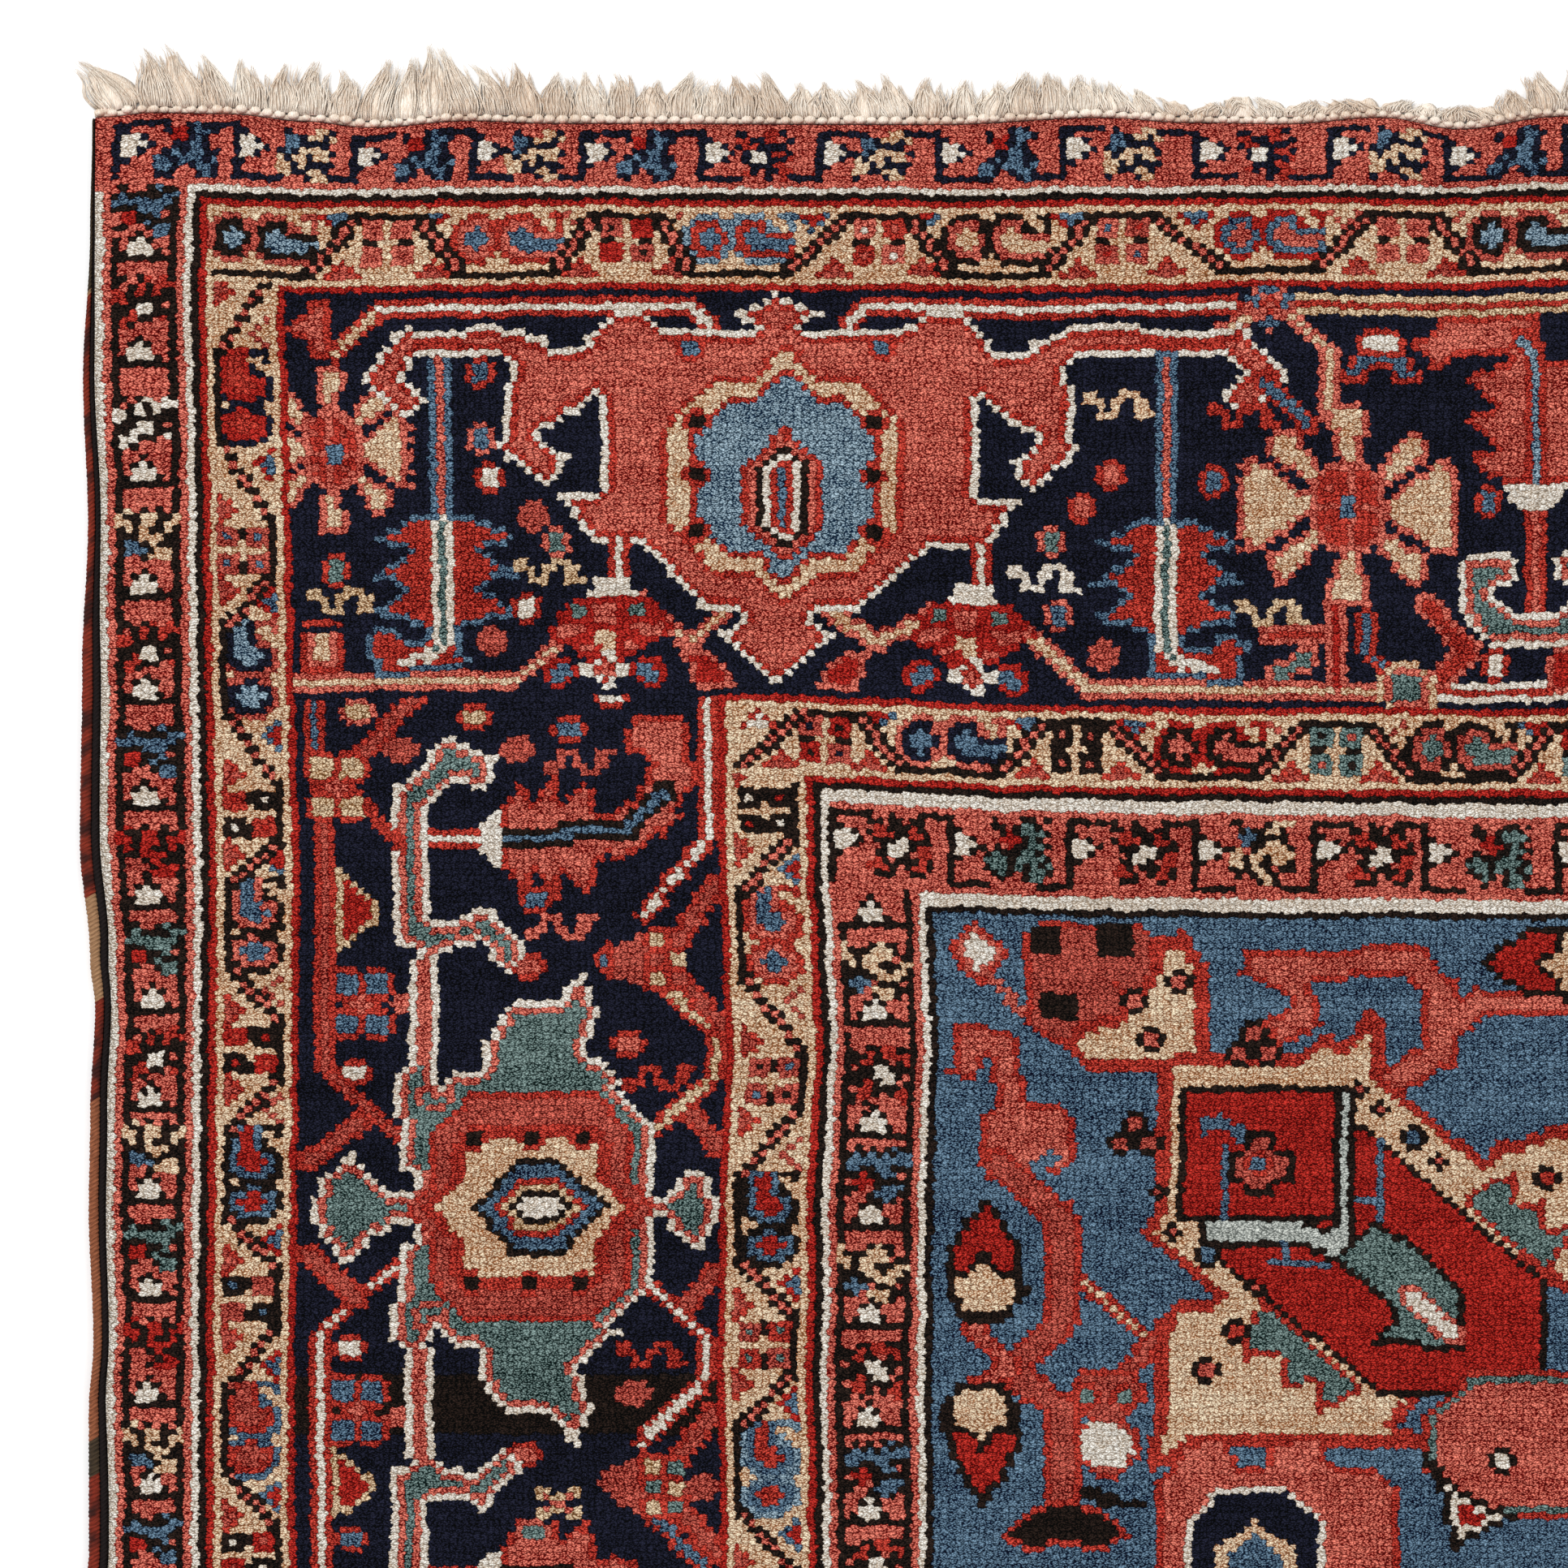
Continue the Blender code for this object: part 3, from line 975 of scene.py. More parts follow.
def side_palmette(pen):
    """A serrated palmette lying across the border on an ivory stem, its tip curled back."""
    pen.line([(0, -12.6), (0, -2.2)], 2.2, "madder", "ivory")
    tip = bars([(0, 11), (0.4, 15), (3, 19.4), (8, 21.6), (12, 21), (12.4, 18.6)], 5.2)
    pen.joined([saw_leaf(0, 12, 3, 4.4, 7.6), *tip], "madder", "salmon")
    pen.line([(0, 0.8), (0.8, 16.4), (5.8, 21)], 2.5, "dark", "blue")
    pen.shape(mirrored([(1.2, -2.8), (3.4, -0.8), (3.4, 0.6)]), "ivory")


def half_diamond(pen, wool, size=1.0):
    pen.shape([(-5.6 * size, -2.4), (-1 * size, 3), (1 * size, 3), (5.6 * size, -2.4)], "sand", wool)


# Places along the side from the palmette's middle, and across it
SIDE_BLOSSOMS = (
    (17.0, 43.3, "mi"), (30.0, 65.0, "ms"), (56.5, 49.6, "oo"), (56.5, 64.0, "oo"),
    (59.0, 69.8, "mb"), (62.4, 75.2, "mi"), (60.6, 58.6, "ma"), (61.4, 43.4, "sa"),
)
LOWER_BLOSSOMS = (
    (22.9, 78.5, "oo"), (40.3, 43.1, "mb"), (39.9, 66.0, "st"), (34.4, 86.6, "oo"),
)
UPPER_BLOSSOMS = (
    (19.8, 76.1, "ms"), (38.0, 66.0, "mb"),
)


def side_half(half, lower):
    """What stands beside and beyond one half of a side palmette."""
    if lower:
        vine(half, [(6.8, 48.6), (15.2, 39), (66, 39)])
    else:
        vine(half, [(8.8, 48.2), (17.2, 39.2), (52, 39.2)], "coral")
        vine(half, [(54.4, 38.6), (64, 38.6)], "blue")
    half.line([(5.6, 37.6), (11, 43.6)], 2.6, "madder", "coral")
    half.line([(11.8, 84.4), (7.6, 88)], 2.8, "madder", "coral")
    vine(half, [(10, 81), (16.4, 87), (20.8, 87), (29, 79.2)], "ivory" if lower else "sand")
    vine(half, [(36, 79), (45.4, 87), (64, 87)], "blue" if lower else "ivory")
    half.figure(FOUR_BLOSSOM, 25, 43.8, f="blue")
    half.line([(25.4, 48), (25.4, 50.6)], 1.9, "salmon")
    half_diamond(half.at(34 if lower else 36.2, 43), "red", 0.82 if lower else 1.0)
    flower = half.at(33.6 if lower else 30.6, 78.4)
    for side in (-1, 1):
        flower.line([(side * 3, 5.2), (side * 9, 9.6)], 2.8, "madder", "coral")
    side_palmette(half.at(45.4, 61.3))
    scatter(half, SIDE_BLOSSOMS + (LOWER_BLOSSOMS if lower else UPPER_BLOSSOMS))

    # These stand upright, whichever way the half runs
    middle = half.paper([(0, 0)])[0][1]
    upright = Pen(half.chart, (0, middle), turn_in=1 if lower else -1)
    if lower:
        upright.figure(CHECKS, 79, 33.8)
        upright.figure(FOUR_DOTS, 68.6, 36)
    else:
        upright.figure(CHECKS, 78.4, 30.4, t="coral")
        upright.shape([(71.6, 30.4), (75, 27.8), (75, 33)], "madder", "blue")
        upright.figure(S_HOOK, 71.4, 54.8, f="coral")
        upright.figure(S_HOOK, 68.8, 34.6, f="salmon")
    upright.figure(S_HOOK, 80.2, 18.4 if lower else 15.8, f="madder")


SIDE_PALMETTES = ((149, "teal", "coral", "camel"), (288, "blue", "salmon", "sand"))


def side_border(pen):
    """The main border down the side, from under the corner to the rug's middle."""
    for middle, *wools in SIDE_PALMETTES:
        for hand in (1, -1):
            side_half(pen.at(middle, 0, flip=hand), hand > 0)
        side_turtle(pen.at(middle, 65), *wools)
        rosette(pen.at(middle + 69.5, 62.5))

    # The corner's own branches
    pen.line([(97.4, 42), (104.6, 48.8)], 1.8, "madder")
    pen.line([(94, 43.6), (86, 50.8)], 2.6, "madder", "coral")
    pen.figure(FOUR_BLOSSOM, 97, 41.2, f="sand")
    vine(pen, [(85.4, 87.2), (103.6, 87.2)])


# --- The field ------------------------------------------------------------------------------


def bud(pen):
    """A red bud with a lobed camel crown, in a dark outline."""
    pen.shape(mirrored([(0, -8.4), (4.4, -2), (5, 4), (2.8, 7.4)]), "dark", "red")
    pen.shape(mirrored([(0, -2), (1.8, 1), (4.4, 1), (4.4, 4.4), (2.4, 7)]), "dark", "camel")


def over_diagonal(points, offset):
    """The points mirrored over the line on which x is the offset more than y."""
    return [(y + offset, x - offset) for x, y in points]


def corner_stems(pen):
    """The stem down the left of the corner, with its buds and hooks."""
    seed = turned(cut_box(0, 0, 6.2, 5.8, 0.6), math.pi / 4, (120.4, 117))
    pen.shape(seed, "madder", "salmon", "ivory")
    pen.line([(122, 119.4), (126.4, 125.8)], 1.3, "salmon")
    bend = bars([(118.4, 131), (119, 127.6), (123, 128.6), (124.4, 136)], 3.6)
    pen.joined([*bend, cut_box(126.6, 140, 12, 9, 2.4)], "madder", "salmon")
    pen.line([(126.4, 145), (129, 142.4)], 2.4, "blue")
    stem = [(123, 143.6), (131.2, 150), (131.2, 162.6), (124.4, 169), (131, 173), (131, 186)]
    pen.line(stem, 3.8, "madder", "coral")
    pen.line([(120, 163), (125, 168), (120.4, 171.4)], 2.7, "madder", "salmon")
    bud(pen.at(121.6, 155.4))
    bud(Pen(pen.chart, (121.2, 177.4), turn_in=-1))
    pen.line([(134, 157.4), (142.4, 165.2)], 2.0, "madder", "camel")
    pen.line([(136, 173), (144, 163)], 2.6, "madder", "coral")
    cup = [cut_box(136.6, 171.6, 9, 6, 2), cut_box(136.4, 178, 8.4, 8, 2.6)]
    pen.joined(cup, "madder", "coral")
    pen.shape(cut_box(136.4, 178, 6.4, 6.2, 2), "ivory")
    for x in (134.6, 138.6):
        pen.figure(PIP, x, 171.8, r="madder", h="teal")
    tip = mirrored([(0, -2.4), (4, -1.4), (8.4, 2.4), (4, 4.6), (0, 3)])
    pen.at(131.2, 187).shape(tip, "madder", "dark")
    pen.line([(134, 183.6), (137, 185.4), (141, 185.6)], 1.5, "dark")


def corner_hooks(pen):
    """The hooks above the corner palmette, and the bud that lies beside them."""
    hooks = [
        *bars([(155, 118), (160, 120.4), (160.6, 124.6), (157.6, 126)], 3.6),
        *bars([(157, 118), (174, 117.6), (177.4, 121), (177.4, 128.4), (171, 133)], 4.0),
        *bars([(177.4, 127), (182, 122.4), (200, 122.4)], 3.2),
    ]
    pen.joined(hooks, "madder", "salmon")
    bud(Pen(pen.chart, (190.4, 117.4), sideways=True))


def corner_crown(pen):
    """The corner palmette's checkered crown, behind its lobed leaf."""
    pen.shape(cut_box(134.4, 120.4, 16, 15, 2), "madder", "coral")
    for x, y in ((128.6, 115.2), (137.6, 114.8), (130, 123.4)):
        pen.shape(cut_box(x, y, 4, 3.6, 0), "dark")
    lobe = [(137, 120.2), (140.5, 121.5), (142.5, 114.5), (146, 114), (148.6, 118), (148.6, 131.8)]
    pen.shape([*lobe, *over_diagonal(lobe, 16.8)[::-1]], "madder", "madder", "camel")


def corner_frame(pen):
    """The corner palmette's camel frame with its horns, bands and outer lobes."""
    horn = [(158, 131), (162.4, 127.4), (166, 127.4), (168.6, 122.6), (170.6, 125), (170.6, 134)]
    frame_parts = [
        cut_box(155.2, 141.4, 26, 24.4, 2),
        horn,
        over_diagonal(horn, 18.5),
        bar((164, 132), (190, 153), 8),
        bar((146, 151), (170, 172), 8),
        [(181, 146), (184, 140), (194, 137.6), (210, 142), (210, 170), (192, 158)],
        [(143, 162), (146, 159.4), (152, 159.4), (176, 178), (147, 178), (141.6, 182)],
    ]
    pen.joined(frame_parts, "madder", "madder", "camel")


def corner_heart(pen):
    """The corner palmette's red ground and what is drawn on it."""
    ground = [(158, 134), (168, 138), (190.8, 158), (190.8, 171.6), (170, 171.6)]
    pen.shape([*ground, (148.6, 154), (150, 148)], "dark", "red")
    pen.shape(cut_box(155.2, 141.6, 19.4, 17.4, 0), "dark", "red")
    wall = [(165.2, 135), (165.2, 154), (160.6, 151.6), (149.4, 151)]
    pen.line(wall, 3.4, "dark", "mist", "mist")
    cross = [cut_box(155.4, 143, 8.4, 3.8, 0), cut_box(155.4, 143, 3.8, 7.8, 0)]
    pen.joined(cross, "dark", "coral")
    pen.figure(PIP, 155.4, 143, r="madder", h="blue")
    pen.line([(148.4, 138.6), (150.6, 137.2), (152.8, 139.4)], 1.8, "blue")
    for line in (
        [(150.7, 141), (150.7, 149.6)],
        [(169.8, 139.7), (169.8, 150.7)],
        [(167, 147), (169.8, 147)],
        [(158.1, 152.7), (158.1, 155.5)],
        [(156.4, 155.3), (163.6, 155.3)],
    ):
        pen.line(line, 1.0, "blue")
    wing = [(164, 154.6), (170, 149.6), (181, 159), (181, 166), (168.6, 165.6), (172, 161.6)]
    pen.shape(wing, "dark", "teal")
    pen.line([(174, 159.6), (179, 164.2)], 3.0, "salmon", "ivory")
    pen.shape(saw((180, 147.4), (191, 157), 3, -7.6), "madder", "teal")
    pen.shape(saw((155.6, 160), (168.4, 171), 3, 7.2), "madder", "teal")


# Small round figures on the corner palmette: place and heart
CORNER_EYELETS = ((167, 133.8), (170, 136.2), (177.4, 142.1), (142.6, 146.2), (145, 151.4), (154.3, 158.6))
CORNER_EYES = (
    (174.3, 139.2, "blue"),
    (149.2, 154, "blue"),
    (139.9, 122.8, "salmon"),
    (141.9, 127.6, "salmon"),
    (144.9, 120, "salmon"),
    (191, 144.6, "madder"),
    (152.8, 164, "madder"),
    (148.8, 168.4, "coral"),
)


def corner_eyes(pen):
    for x, y in CORNER_EYELETS:
        pen.figure(EYELET, x, y, h="coral")
    for x, y, heart in CORNER_EYES:
        pen.figure(PIP, x, y, r="dark", h=heart)
    for x, y in ((154, 128.2), (139.5, 139.4)):
        for dx, dy in ((-1.9, 1), (1.9, 1), (0, -1.8)):
            pen.figure(PIP, x + dx, y + dy, r="dark", h="coral")


def salmon_palmette(pen):
    """A salmon palmette round a navy octagon, and the flower beside it."""
    lobes = [cut_box(157, 194, 30, 27, 3)]
    for x in (149, 160.5):
        lobes.append([(x - 5, 184), (x - 4, 178), (x + 2, 176.4), (x + 5, 184)])
    pen.joined(lobes, "madder", "salmon")
    pen.shape(cut_box(154.6, 194, 17, 21, 4), "ivory", "navy")
    pen.at(154.6, 193).shape(shield(4.8, -3, 3, 0.8, 3), "camel", "camel", "blue")
    pen.shape(cut_box(188, 178, 26, 18, 6), "madder", "teal", "salmon")
    pen.figure(PIP, 184.8, 180, r="dark", h="ivory")
    petal = [(174.8, 178.8), (180.6, 184), (187, 186.6), (179, 191), (177.4, 184)]
    pen.shape(petal, "dark", "ivory", "red")


def spandrel(pen):
    """The corner piece of the blue field."""
    for part in (
        corner_stems,
        corner_hooks,
        corner_crown,
        corner_frame,
        corner_heart,
        corner_eyes,
        salmon_palmette,
    ):
        part(pen)


# The field past the corner
MEDALLION = (  # size and wools of each of its rounds
    (1.0, ("dark", "ivory", "coral")),
    (0.72, ("dark", "camel", "navy")),
    (0.4, ("ivory", "madder", "sky")),
    (0.16, ("dark", "salmon", "ivory")),
)
MEDALLION_REACH = (52, 74)
MEDALLION_LOBES = 8
LOBE_DEPTH = 0.12
OUTLINE_POINTS = 64
WREATH_FLOWERS = 16
OUTER_WREATH, INNER_WREATH = (44, 63), (29, 42)
FIELD_STEMS = (
    [(118, 214), (131, 222), (131, 300), (120, 330), (131, 350)],
    [(131, 240), (160, 256), (168, 262)],
    [(210, 130), (226, 122), (244, 130)],
)
FIELD_ROSETTES = ((226, 135), (132, 232), (210, 232), (132, 306), (170, 262), (176, 330))
FIELD_BUDS = ((122, 250), (141, 282), (122, 284), (150, 306), (206, 212), (150, 232))


def on_oval(angle, reach, scale=1.0):
    return math.sin(angle) * reach[0] * scale, math.cos(angle) * reach[1] * scale


def field_rest(pen):
    """The parts of the field past the corner: a plain lobed medallion and a few flowers."""
    centre = pen.at(AXIS_X, AXIS_Y)
    for size, wools in MEDALLION:
        lobes = []
        for i in range(OUTLINE_POINTS):
            angle = math.tau * i / OUTLINE_POINTS
            scale = (1 + LOBE_DEPTH * math.cos(MEDALLION_LOBES * angle)) * size
            lobes.append(on_oval(angle, MEDALLION_REACH, scale))
        centre.shape(lobes, *wools)
    for i in range(WREATH_FLOWERS):
        angle = math.tau * i / WREATH_FLOWERS
        place = centre.at(*on_oval(angle, OUTER_WREATH))
        place.shape(cut_box(0, 0, 6.4, 6, 1.8), "dark", "camel", "camel", "madder")
        place = centre.at(*on_oval(angle + 0.2, INNER_WREATH))
        place.figure(BLOSSOM, 0, 0, r="salmon", h="ivory")
    rosette(centre, 0.7, 0.8, 0.8)
    for x, y in FIELD_ROSETTES:
        rosette(pen.at(x, y), 0.75, 0.75, 0.75)
    for stem in FIELD_STEMS:
        pen.line(stem, 3.2, "madder", "salmon")
    for x, y in FIELD_BUDS:
        bud(pen.at(x, y))


# --- The whole chart ------------------------------------------------------------------------

# Bands from the edge inward: wool, first row and first column
BANDS = (
    ("salmon", 0, 0),
    ("ivory", 10, 11),
    ("dark", 11, 12),
    ("red", 12, 13),
    ("camel", 13, 14),
    ("red", 25, 24),
    ("navy", 26, 25),
    ("red", 88, 83),
    ("camel", 89, 84),
    ("red", 100, 95),
    ("dark", 101, 96),
    ("ivory", 102, 97),
    ("salmon", 104, 98),
    ("ivory", 117, 110),
    ("dark", 119, 111),
    ("blue", 120, 112),
)
# First row and number of rows of the side border where the weaver ran out of navy and took
# black-brown wool
BLACK_ROWS = ((191, 9), (330, 7), (389, 4))
FIRST_PALE_ROW = 11  # from here down, the outermost column of knots is ivory


def draw_chart():
    """One wool number for each knot. A quarter is drawn, and the others mirror it."""
    quarter = np.zeros((HALF_ALONG, HALF_ACROSS), np.uint8)
    for wool, row, col in BANDS:
        quarter[row:, col:] = WOOL[wool]
    quarter[FIRST_PALE_ROW:, 0] = WOOL["ivory"]

    field = quarter.copy()
    field_rest(Pen(field))
    spandrel(Pen(field))
    first_row, first_col = FIELD
    quarter[first_row:, first_col:] = field[first_row:, first_col:]

    main = np.full_like(quarter, WOOL["navy"])
    end_border(Pen(main))
    end_part(quarter, MAIN_BORDER)[:] = end_part(main, MAIN_BORDER)
    main[:] = WOOL["navy"]
    for row, rows in BLACK_ROWS:
        main[row : row + rows] = WOOL["dark"]
    side_border(Pen(main, sideways=True))
    side_part(quarter, MAIN_BORDER)[:] = side_part(main, MAIN_BORDER)

    narrow_borders(quarter)
    top = np.concatenate([quarter, quarter[:, ::-1]], axis=1)
    return np.concatenate([top, top[::-1]], axis=0)


chart = draw_chart()


# --- Shapes shared with the solids ----------------------------------------------------------


def read_table(table, distance):
    """The table's second column at these distances, eased from row to row, in metres."""
    at, value = np.array(table, float).T * MM
    i = np.clip(np.searchsorted(at, distance) - 1, 0, len(at) - 2)
    share = np.clip((distance - at[i]) / (at[i + 1] - at[i]), 0, 1)
    return value[i] + (value[i + 1] - value[i]) * (1 - np.cos(np.pi * share)) / 2


def wander(distance, table=(), phase=0.0):
    """How far an edge stands out from straight, this far along it from its start."""
    described = table[-1][0] * MM if table else 0.0
    offset = read_table(table, distance) if table else 0.0
    past = np.maximum(0.0, distance - described)
    for height, length in EDGE_WAVES:
        offset = offset + height * (np.sin(math.tau * past / length + phase) - math.sin(phase))
    return offset


def top_y(x):
    return PILE_LENGTH / 2 + wander(x + PILE_WIDTH / 2, TOP_EDGE)


def bottom_y(x):
    return -PILE_LENGTH / 2 - wander(x + PILE_WIDTH / 2, phase=BOTTOM_PHASE)


def left_x(y):
    return -PILE_WIDTH / 2 - wander(PILE_LENGTH / 2 - y, LEFT_EDGE)


def right_x(y):
    return PILE_WIDTH / 2 + wander(PILE_LENGTH / 2 - y, phase=RIGHT_PHASE)


def cord_share(distance):
    """Width of the left side's cords, this far along it, over their full width."""
    return read_table(LEFT_CORD_WIDTH, distance) / SELVEDGE_WIDTH


def near_edge(distance):
    """1 at the edge, easing to 0 where the edge's wander is no longer felt."""
    share = np.clip(1 - distance / EDGE_FADE, 0, 1)
    return share * share * (3 - 2 * share)


def border_drift(along, deep, outer, inner):
    """How far the lines of a border drift inward, at this depth from the edge."""
    outer_share = np.clip(deep / OUTER_LINES_AT, 0, 1)
    inner_share = np.clip((deep - OUTER_LINES_AT) / (INNER_LINES_AT - OUTER_LINES_AT), 0, 1)
    fade = np.clip(2 - deep / INNER_LINES_AT, 0, 1)
    drift = read_table(outer, along) * (1 - inner_share) + read_table(inner, along) * inner_share
    return drift * outer_share * fade


def lay(col, row):
    """Where a place on the chart lies on the rug."""
    from_left, from_top = col * KNOT_WIDTH, row * KNOT_HEIGHT
    from_right, from_bottom = PILE_WIDTH - from_left, PILE_LENGTH - from_top
    x = from_left - PILE_WIDTH / 2
    y = PILE_LENGTH / 2 - from_top
    moved_x = x - wander(from_top, LEFT_EDGE) * near_edge(from_left)
    moved_x = moved_x + wander(from_top, phase=RIGHT_PHASE) * near_edge(from_right)
    over_cords = SELVEDGE_WIDTH * (1 - cord_share(from_top))
    moved_x = moved_x - over_cords * np.clip(1 - col / OUTER_GUARD[1][1], 0, 1)
    down, across = np.minimum(from_top, from_bottom), np.minimum(from_left, from_right)
    moved_x += border_drift(down, from_left, SIDE_DRIFT_OUTER, SIDE_DRIFT_INNER)
    moved_x -= border_drift(down, from_right, SIDE_DRIFT_OUTER, SIDE_DRIFT_INNER)
    moved_y = y + (top_y(moved_x) - PILE_LENGTH / 2) * near_edge(from_top)
    moved_y = moved_y + (bottom_y(moved_x) + PILE_LENGTH / 2) * near_edge(from_bottom)
    moved_y -= border_drift(across, from_top, END_DRIFT_OUTER, END_DRIFT_INNER)
    moved_y += border_drift(across, from_bottom, END_DRIFT_OUTER, END_DRIFT_INNER)
    return moved_x, moved_y


# --- Making pieces --------------------------------------------------------------------------


def make_piece(name, points, faces, material, slot, *nodes):
    mesh = bpy.data.meshes.new(name)
    mesh.from_pydata(points, [], faces)
    mesh.update()
    mesh.materials.append(material)
    piece = bpy.data.objects.new(name, mesh)
    bpy.context.scene.collection.objects.link(piece)
    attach(piece, "root")
    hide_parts(*nodes)
    return piece


def face_numbers(mesh, name, values):
    layer = mesh.attributes.new(name, "FLOAT", "FACE")
    layer.data.foreach_set("value", np.asarray(values, np.float32).ravel())


def corner_points(mesh, name, uv):
    layer = mesh.uv_layers.new(name=name)
    layer.data.foreach_set("uv", np.asarray(uv, np.float32).ravel())


class Graph:
    """Short calls for the nodes of one material."""

    def __init__(self, name, roughness):
        self.material = bpy.data.materials.new(name)
        self.material.use_nodes = True
        self.tree = self.material.node_tree
        self.shader = self.tree.nodes["Principled BSDF"]
        self.shader.inputs["Roughness"].default_value = roughness
        self.shader.inputs["Metallic"].default_value = 0.0

    def set(self, socket, value):
        if isinstance(value, bpy.types.NodeSocket):
            self.tree.links.new(value, socket)
        else:
            socket.default_value = value

    def node(self, kind, inputs=(), **settings):
        made = self.tree.nodes.new(kind)
        for name, value in settings.items():
            setattr(made, name, value)
        for key, value in dict(inputs).items():
            self.set(made.inputs[key], value)
        return made

    def math(self, operation, *values):
        return self.node("ShaderNodeMath", enumerate(values), operation=operation).outputs[0]

    def vector(self, operation, *values):
        made = self.node("ShaderNodeVectorMath", operation=operation)
        for i, value in enumerate(values):
            key = "Scale" if operation == "SCALE" and i == 1 else i
            self.set(made.inputs[key], value)
        return made.outputs["Value" if operation in ("LENGTH", "DOT_PRODUCT") else "Vector"]

    def split(self, vector):
        return self.node("ShaderNodeSeparateXYZ", {0: vector}).outputs

    def join(self, x, y, z=0.0):
        return self.node("ShaderNodeCombineXYZ", {0: x, 1: y, 2: z}).outputs[0]

    def number(self, name):
        return self.node("ShaderNodeAttribute", attribute_name=name).outputs["Fac"]

    def noise(self, vector, scale, detail=2.0, roughness=0.5):
        inputs = {"Vector": vector, "Scale": scale, "Detail": detail, "Roughness": roughness}
        return self.node("ShaderNodeTexNoise", inputs)

    def ease(self, value, low, high, start=0.0, end=1.0):
        inputs = {"Value": value, "From Min": low, "From Max": high, "To Min": start, "To Max": end}
        return self.node("ShaderNodeMapRange", inputs, interpolation_type="SMOOTHSTEP").outputs[0]

    def ramp(self, value, stops, interpolation="LINEAR"):
        made = self.node("ShaderNodeValToRGB", {0: value})
        made.color_ramp.interpolation = interpolation
        elements = made.color_ramp.elements
        for i, (at, colour) in enumerate(stops):
            element = elements[i] if i < 2 else elements.new(at)
            element.position = at
            element.color = colour
        return made.outputs["Color"]

    def mix(self, share, first, second, blend="MIX"):
        made = self.node("ShaderNodeMix", data_type="RGBA", blend_type=blend)
        self.set(made.inputs["Factor"], share)
        self.set(made.inputs[6], first)
        self.set(made.inputs[7], second)
        return made.outputs[2]

    def finish(self, colour, height, relief):
        """Connects the colour and a bump of this relief, in metres."""
        self.set(self.shader.inputs["Base Color"], colour)
        bump = self.node("ShaderNodeBump", {"Height": height, "Distance": relief, "Strength": 1.0})
        self.set(self.shader.inputs["Normal"], bump.outputs[0])
        return self.material


def linear(colour):
    """A colour in sRGB, 0 to 255, as the shader's linear colour."""
    return tuple(((c / 255 + 0.055) / 1.055) ** 2.4 if c > 10 else c / 3295 for c in colour) + (1.0,)


# --- The pile -------------------------------------------------------------------------------

BLOCK_COLS, BLOCK_ROWS = 2, 3  # knots in one face of the pile's top
BACK_COLS, BACK_ROWS = 4, 6  # and of its underside
WINDOW_COLS, WINDOW_ROWS = 4, 6  # knots that a face carries
CODE = 16  # more than there are wools

TRIMMED = 0.0004  # the tufts' tips end this far under the pile's full height
WORN_DEPTH = 0.0007  # and dark wools, which wear, this much further
WEAR_SPAN = 4  # knots over which worn and full pile blend
RIM_HEIGHT = PILE_HEIGHT * 0.78
SURFACE_WAVES = (  # height, length across, length along, phase
    (0.00022, 0.31, 0.23, 0.4),
    (0.00018, -0.12, 0.17, 1.9),
    (0.00012, 0.07, 0.045, 3.1),
)

# Areas of the baked picture: left, width, bottom, height
BAKED_TOP = (0.004, 0.672, 0.002, 0.996)
BAKED_BACK = (0.69, 0.3, 0.004, 0.44)
BAKED_EDGES = (0.72, 0.01, 0.47, 0.25)
BAKED_EDGE_STEP = 0.05  # between two of the edges

# The wool's look
KNOT_UNEVENNESS = 0.55  # how far a knot strays from its place on the grid
SLOW_STRAY, FINE_STRAY = 1.0, 0.5  # how much rows and columns wander, slowly and from knot to knot
TUFTS = (2.9, 4.2, 1.0)  # to a knot, across and along the way they lie
TUFT_LEAN = (0, 0, -0.6)
TUFT_HOLD = 0.55  # how much the wool of a spot follows its tuft
LEAST_LIGHT, MOST_LIGHT = -0.15, 1.25
PILE_RELIEF = 0.001


def coded_rows(chart, first_row, first_col, step_rows, step_cols):
    """For each block of knots, one number per row of its window: a digit for each knot."""
    margin = WINDOW_ROWS
    padded = np.pad(chart.astype(float), margin, mode="edge")
    tall, wide = chart.shape[0] // step_rows, chart.shape[1] // step_cols
    numbers = []
    for r in range(WINDOW_ROWS):
        row = padded[margin + first_row + r :][::step_rows][:tall]
        number = 0
        for c in range(WINDOW_COLS):
            number = number + row[:, margin + first_col + c :][:, ::step_cols][:, :wide] * CODE**c
        numbers.append(number)
    return numbers


def pile_surface(col, row, chart):
    """The top of the pile: low over dark wools and gently uneven."""
    low = np.isin(chart, [WOOL["dark"], WOOL["navy"]]).astype(float)
    padded = np.pad(low, WEAR_SPAN // 2, mode="edge")
    tall, wide = low.shape
    worn = 0.0
    for i in range(WEAR_SPAN):
        for j in range(WEAR_SPAN):
            worn = worn + padded[i : i + tall + 1, j : j + wide + 1]
    z = PILE_HEIGHT - TRIMMED - WORN_DEPTH * (worn / WEAR_SPAN**2)[row, col]
    x, y = col * KNOT_WIDTH, row * KNOT_HEIGHT
    for size, length_x, length_y, phase in SURFACE_WAVES:
        z += size * (np.sin(math.tau * (x / length_x + y / length_y) + phase) - 0.5)
    return z


def grid_faces(grid, faces_up):
    """The faces between a grid's points."""
    corners = [grid[:-1, :-1], grid[1:, :-1], grid[1:, 1:], grid[:-1, 1:]]
    order = (0, 1, 2, 3) if faces_up else (0, 3, 2, 1)
    return np.stack([corners[i] for i in order], -1).reshape(-1, 4)


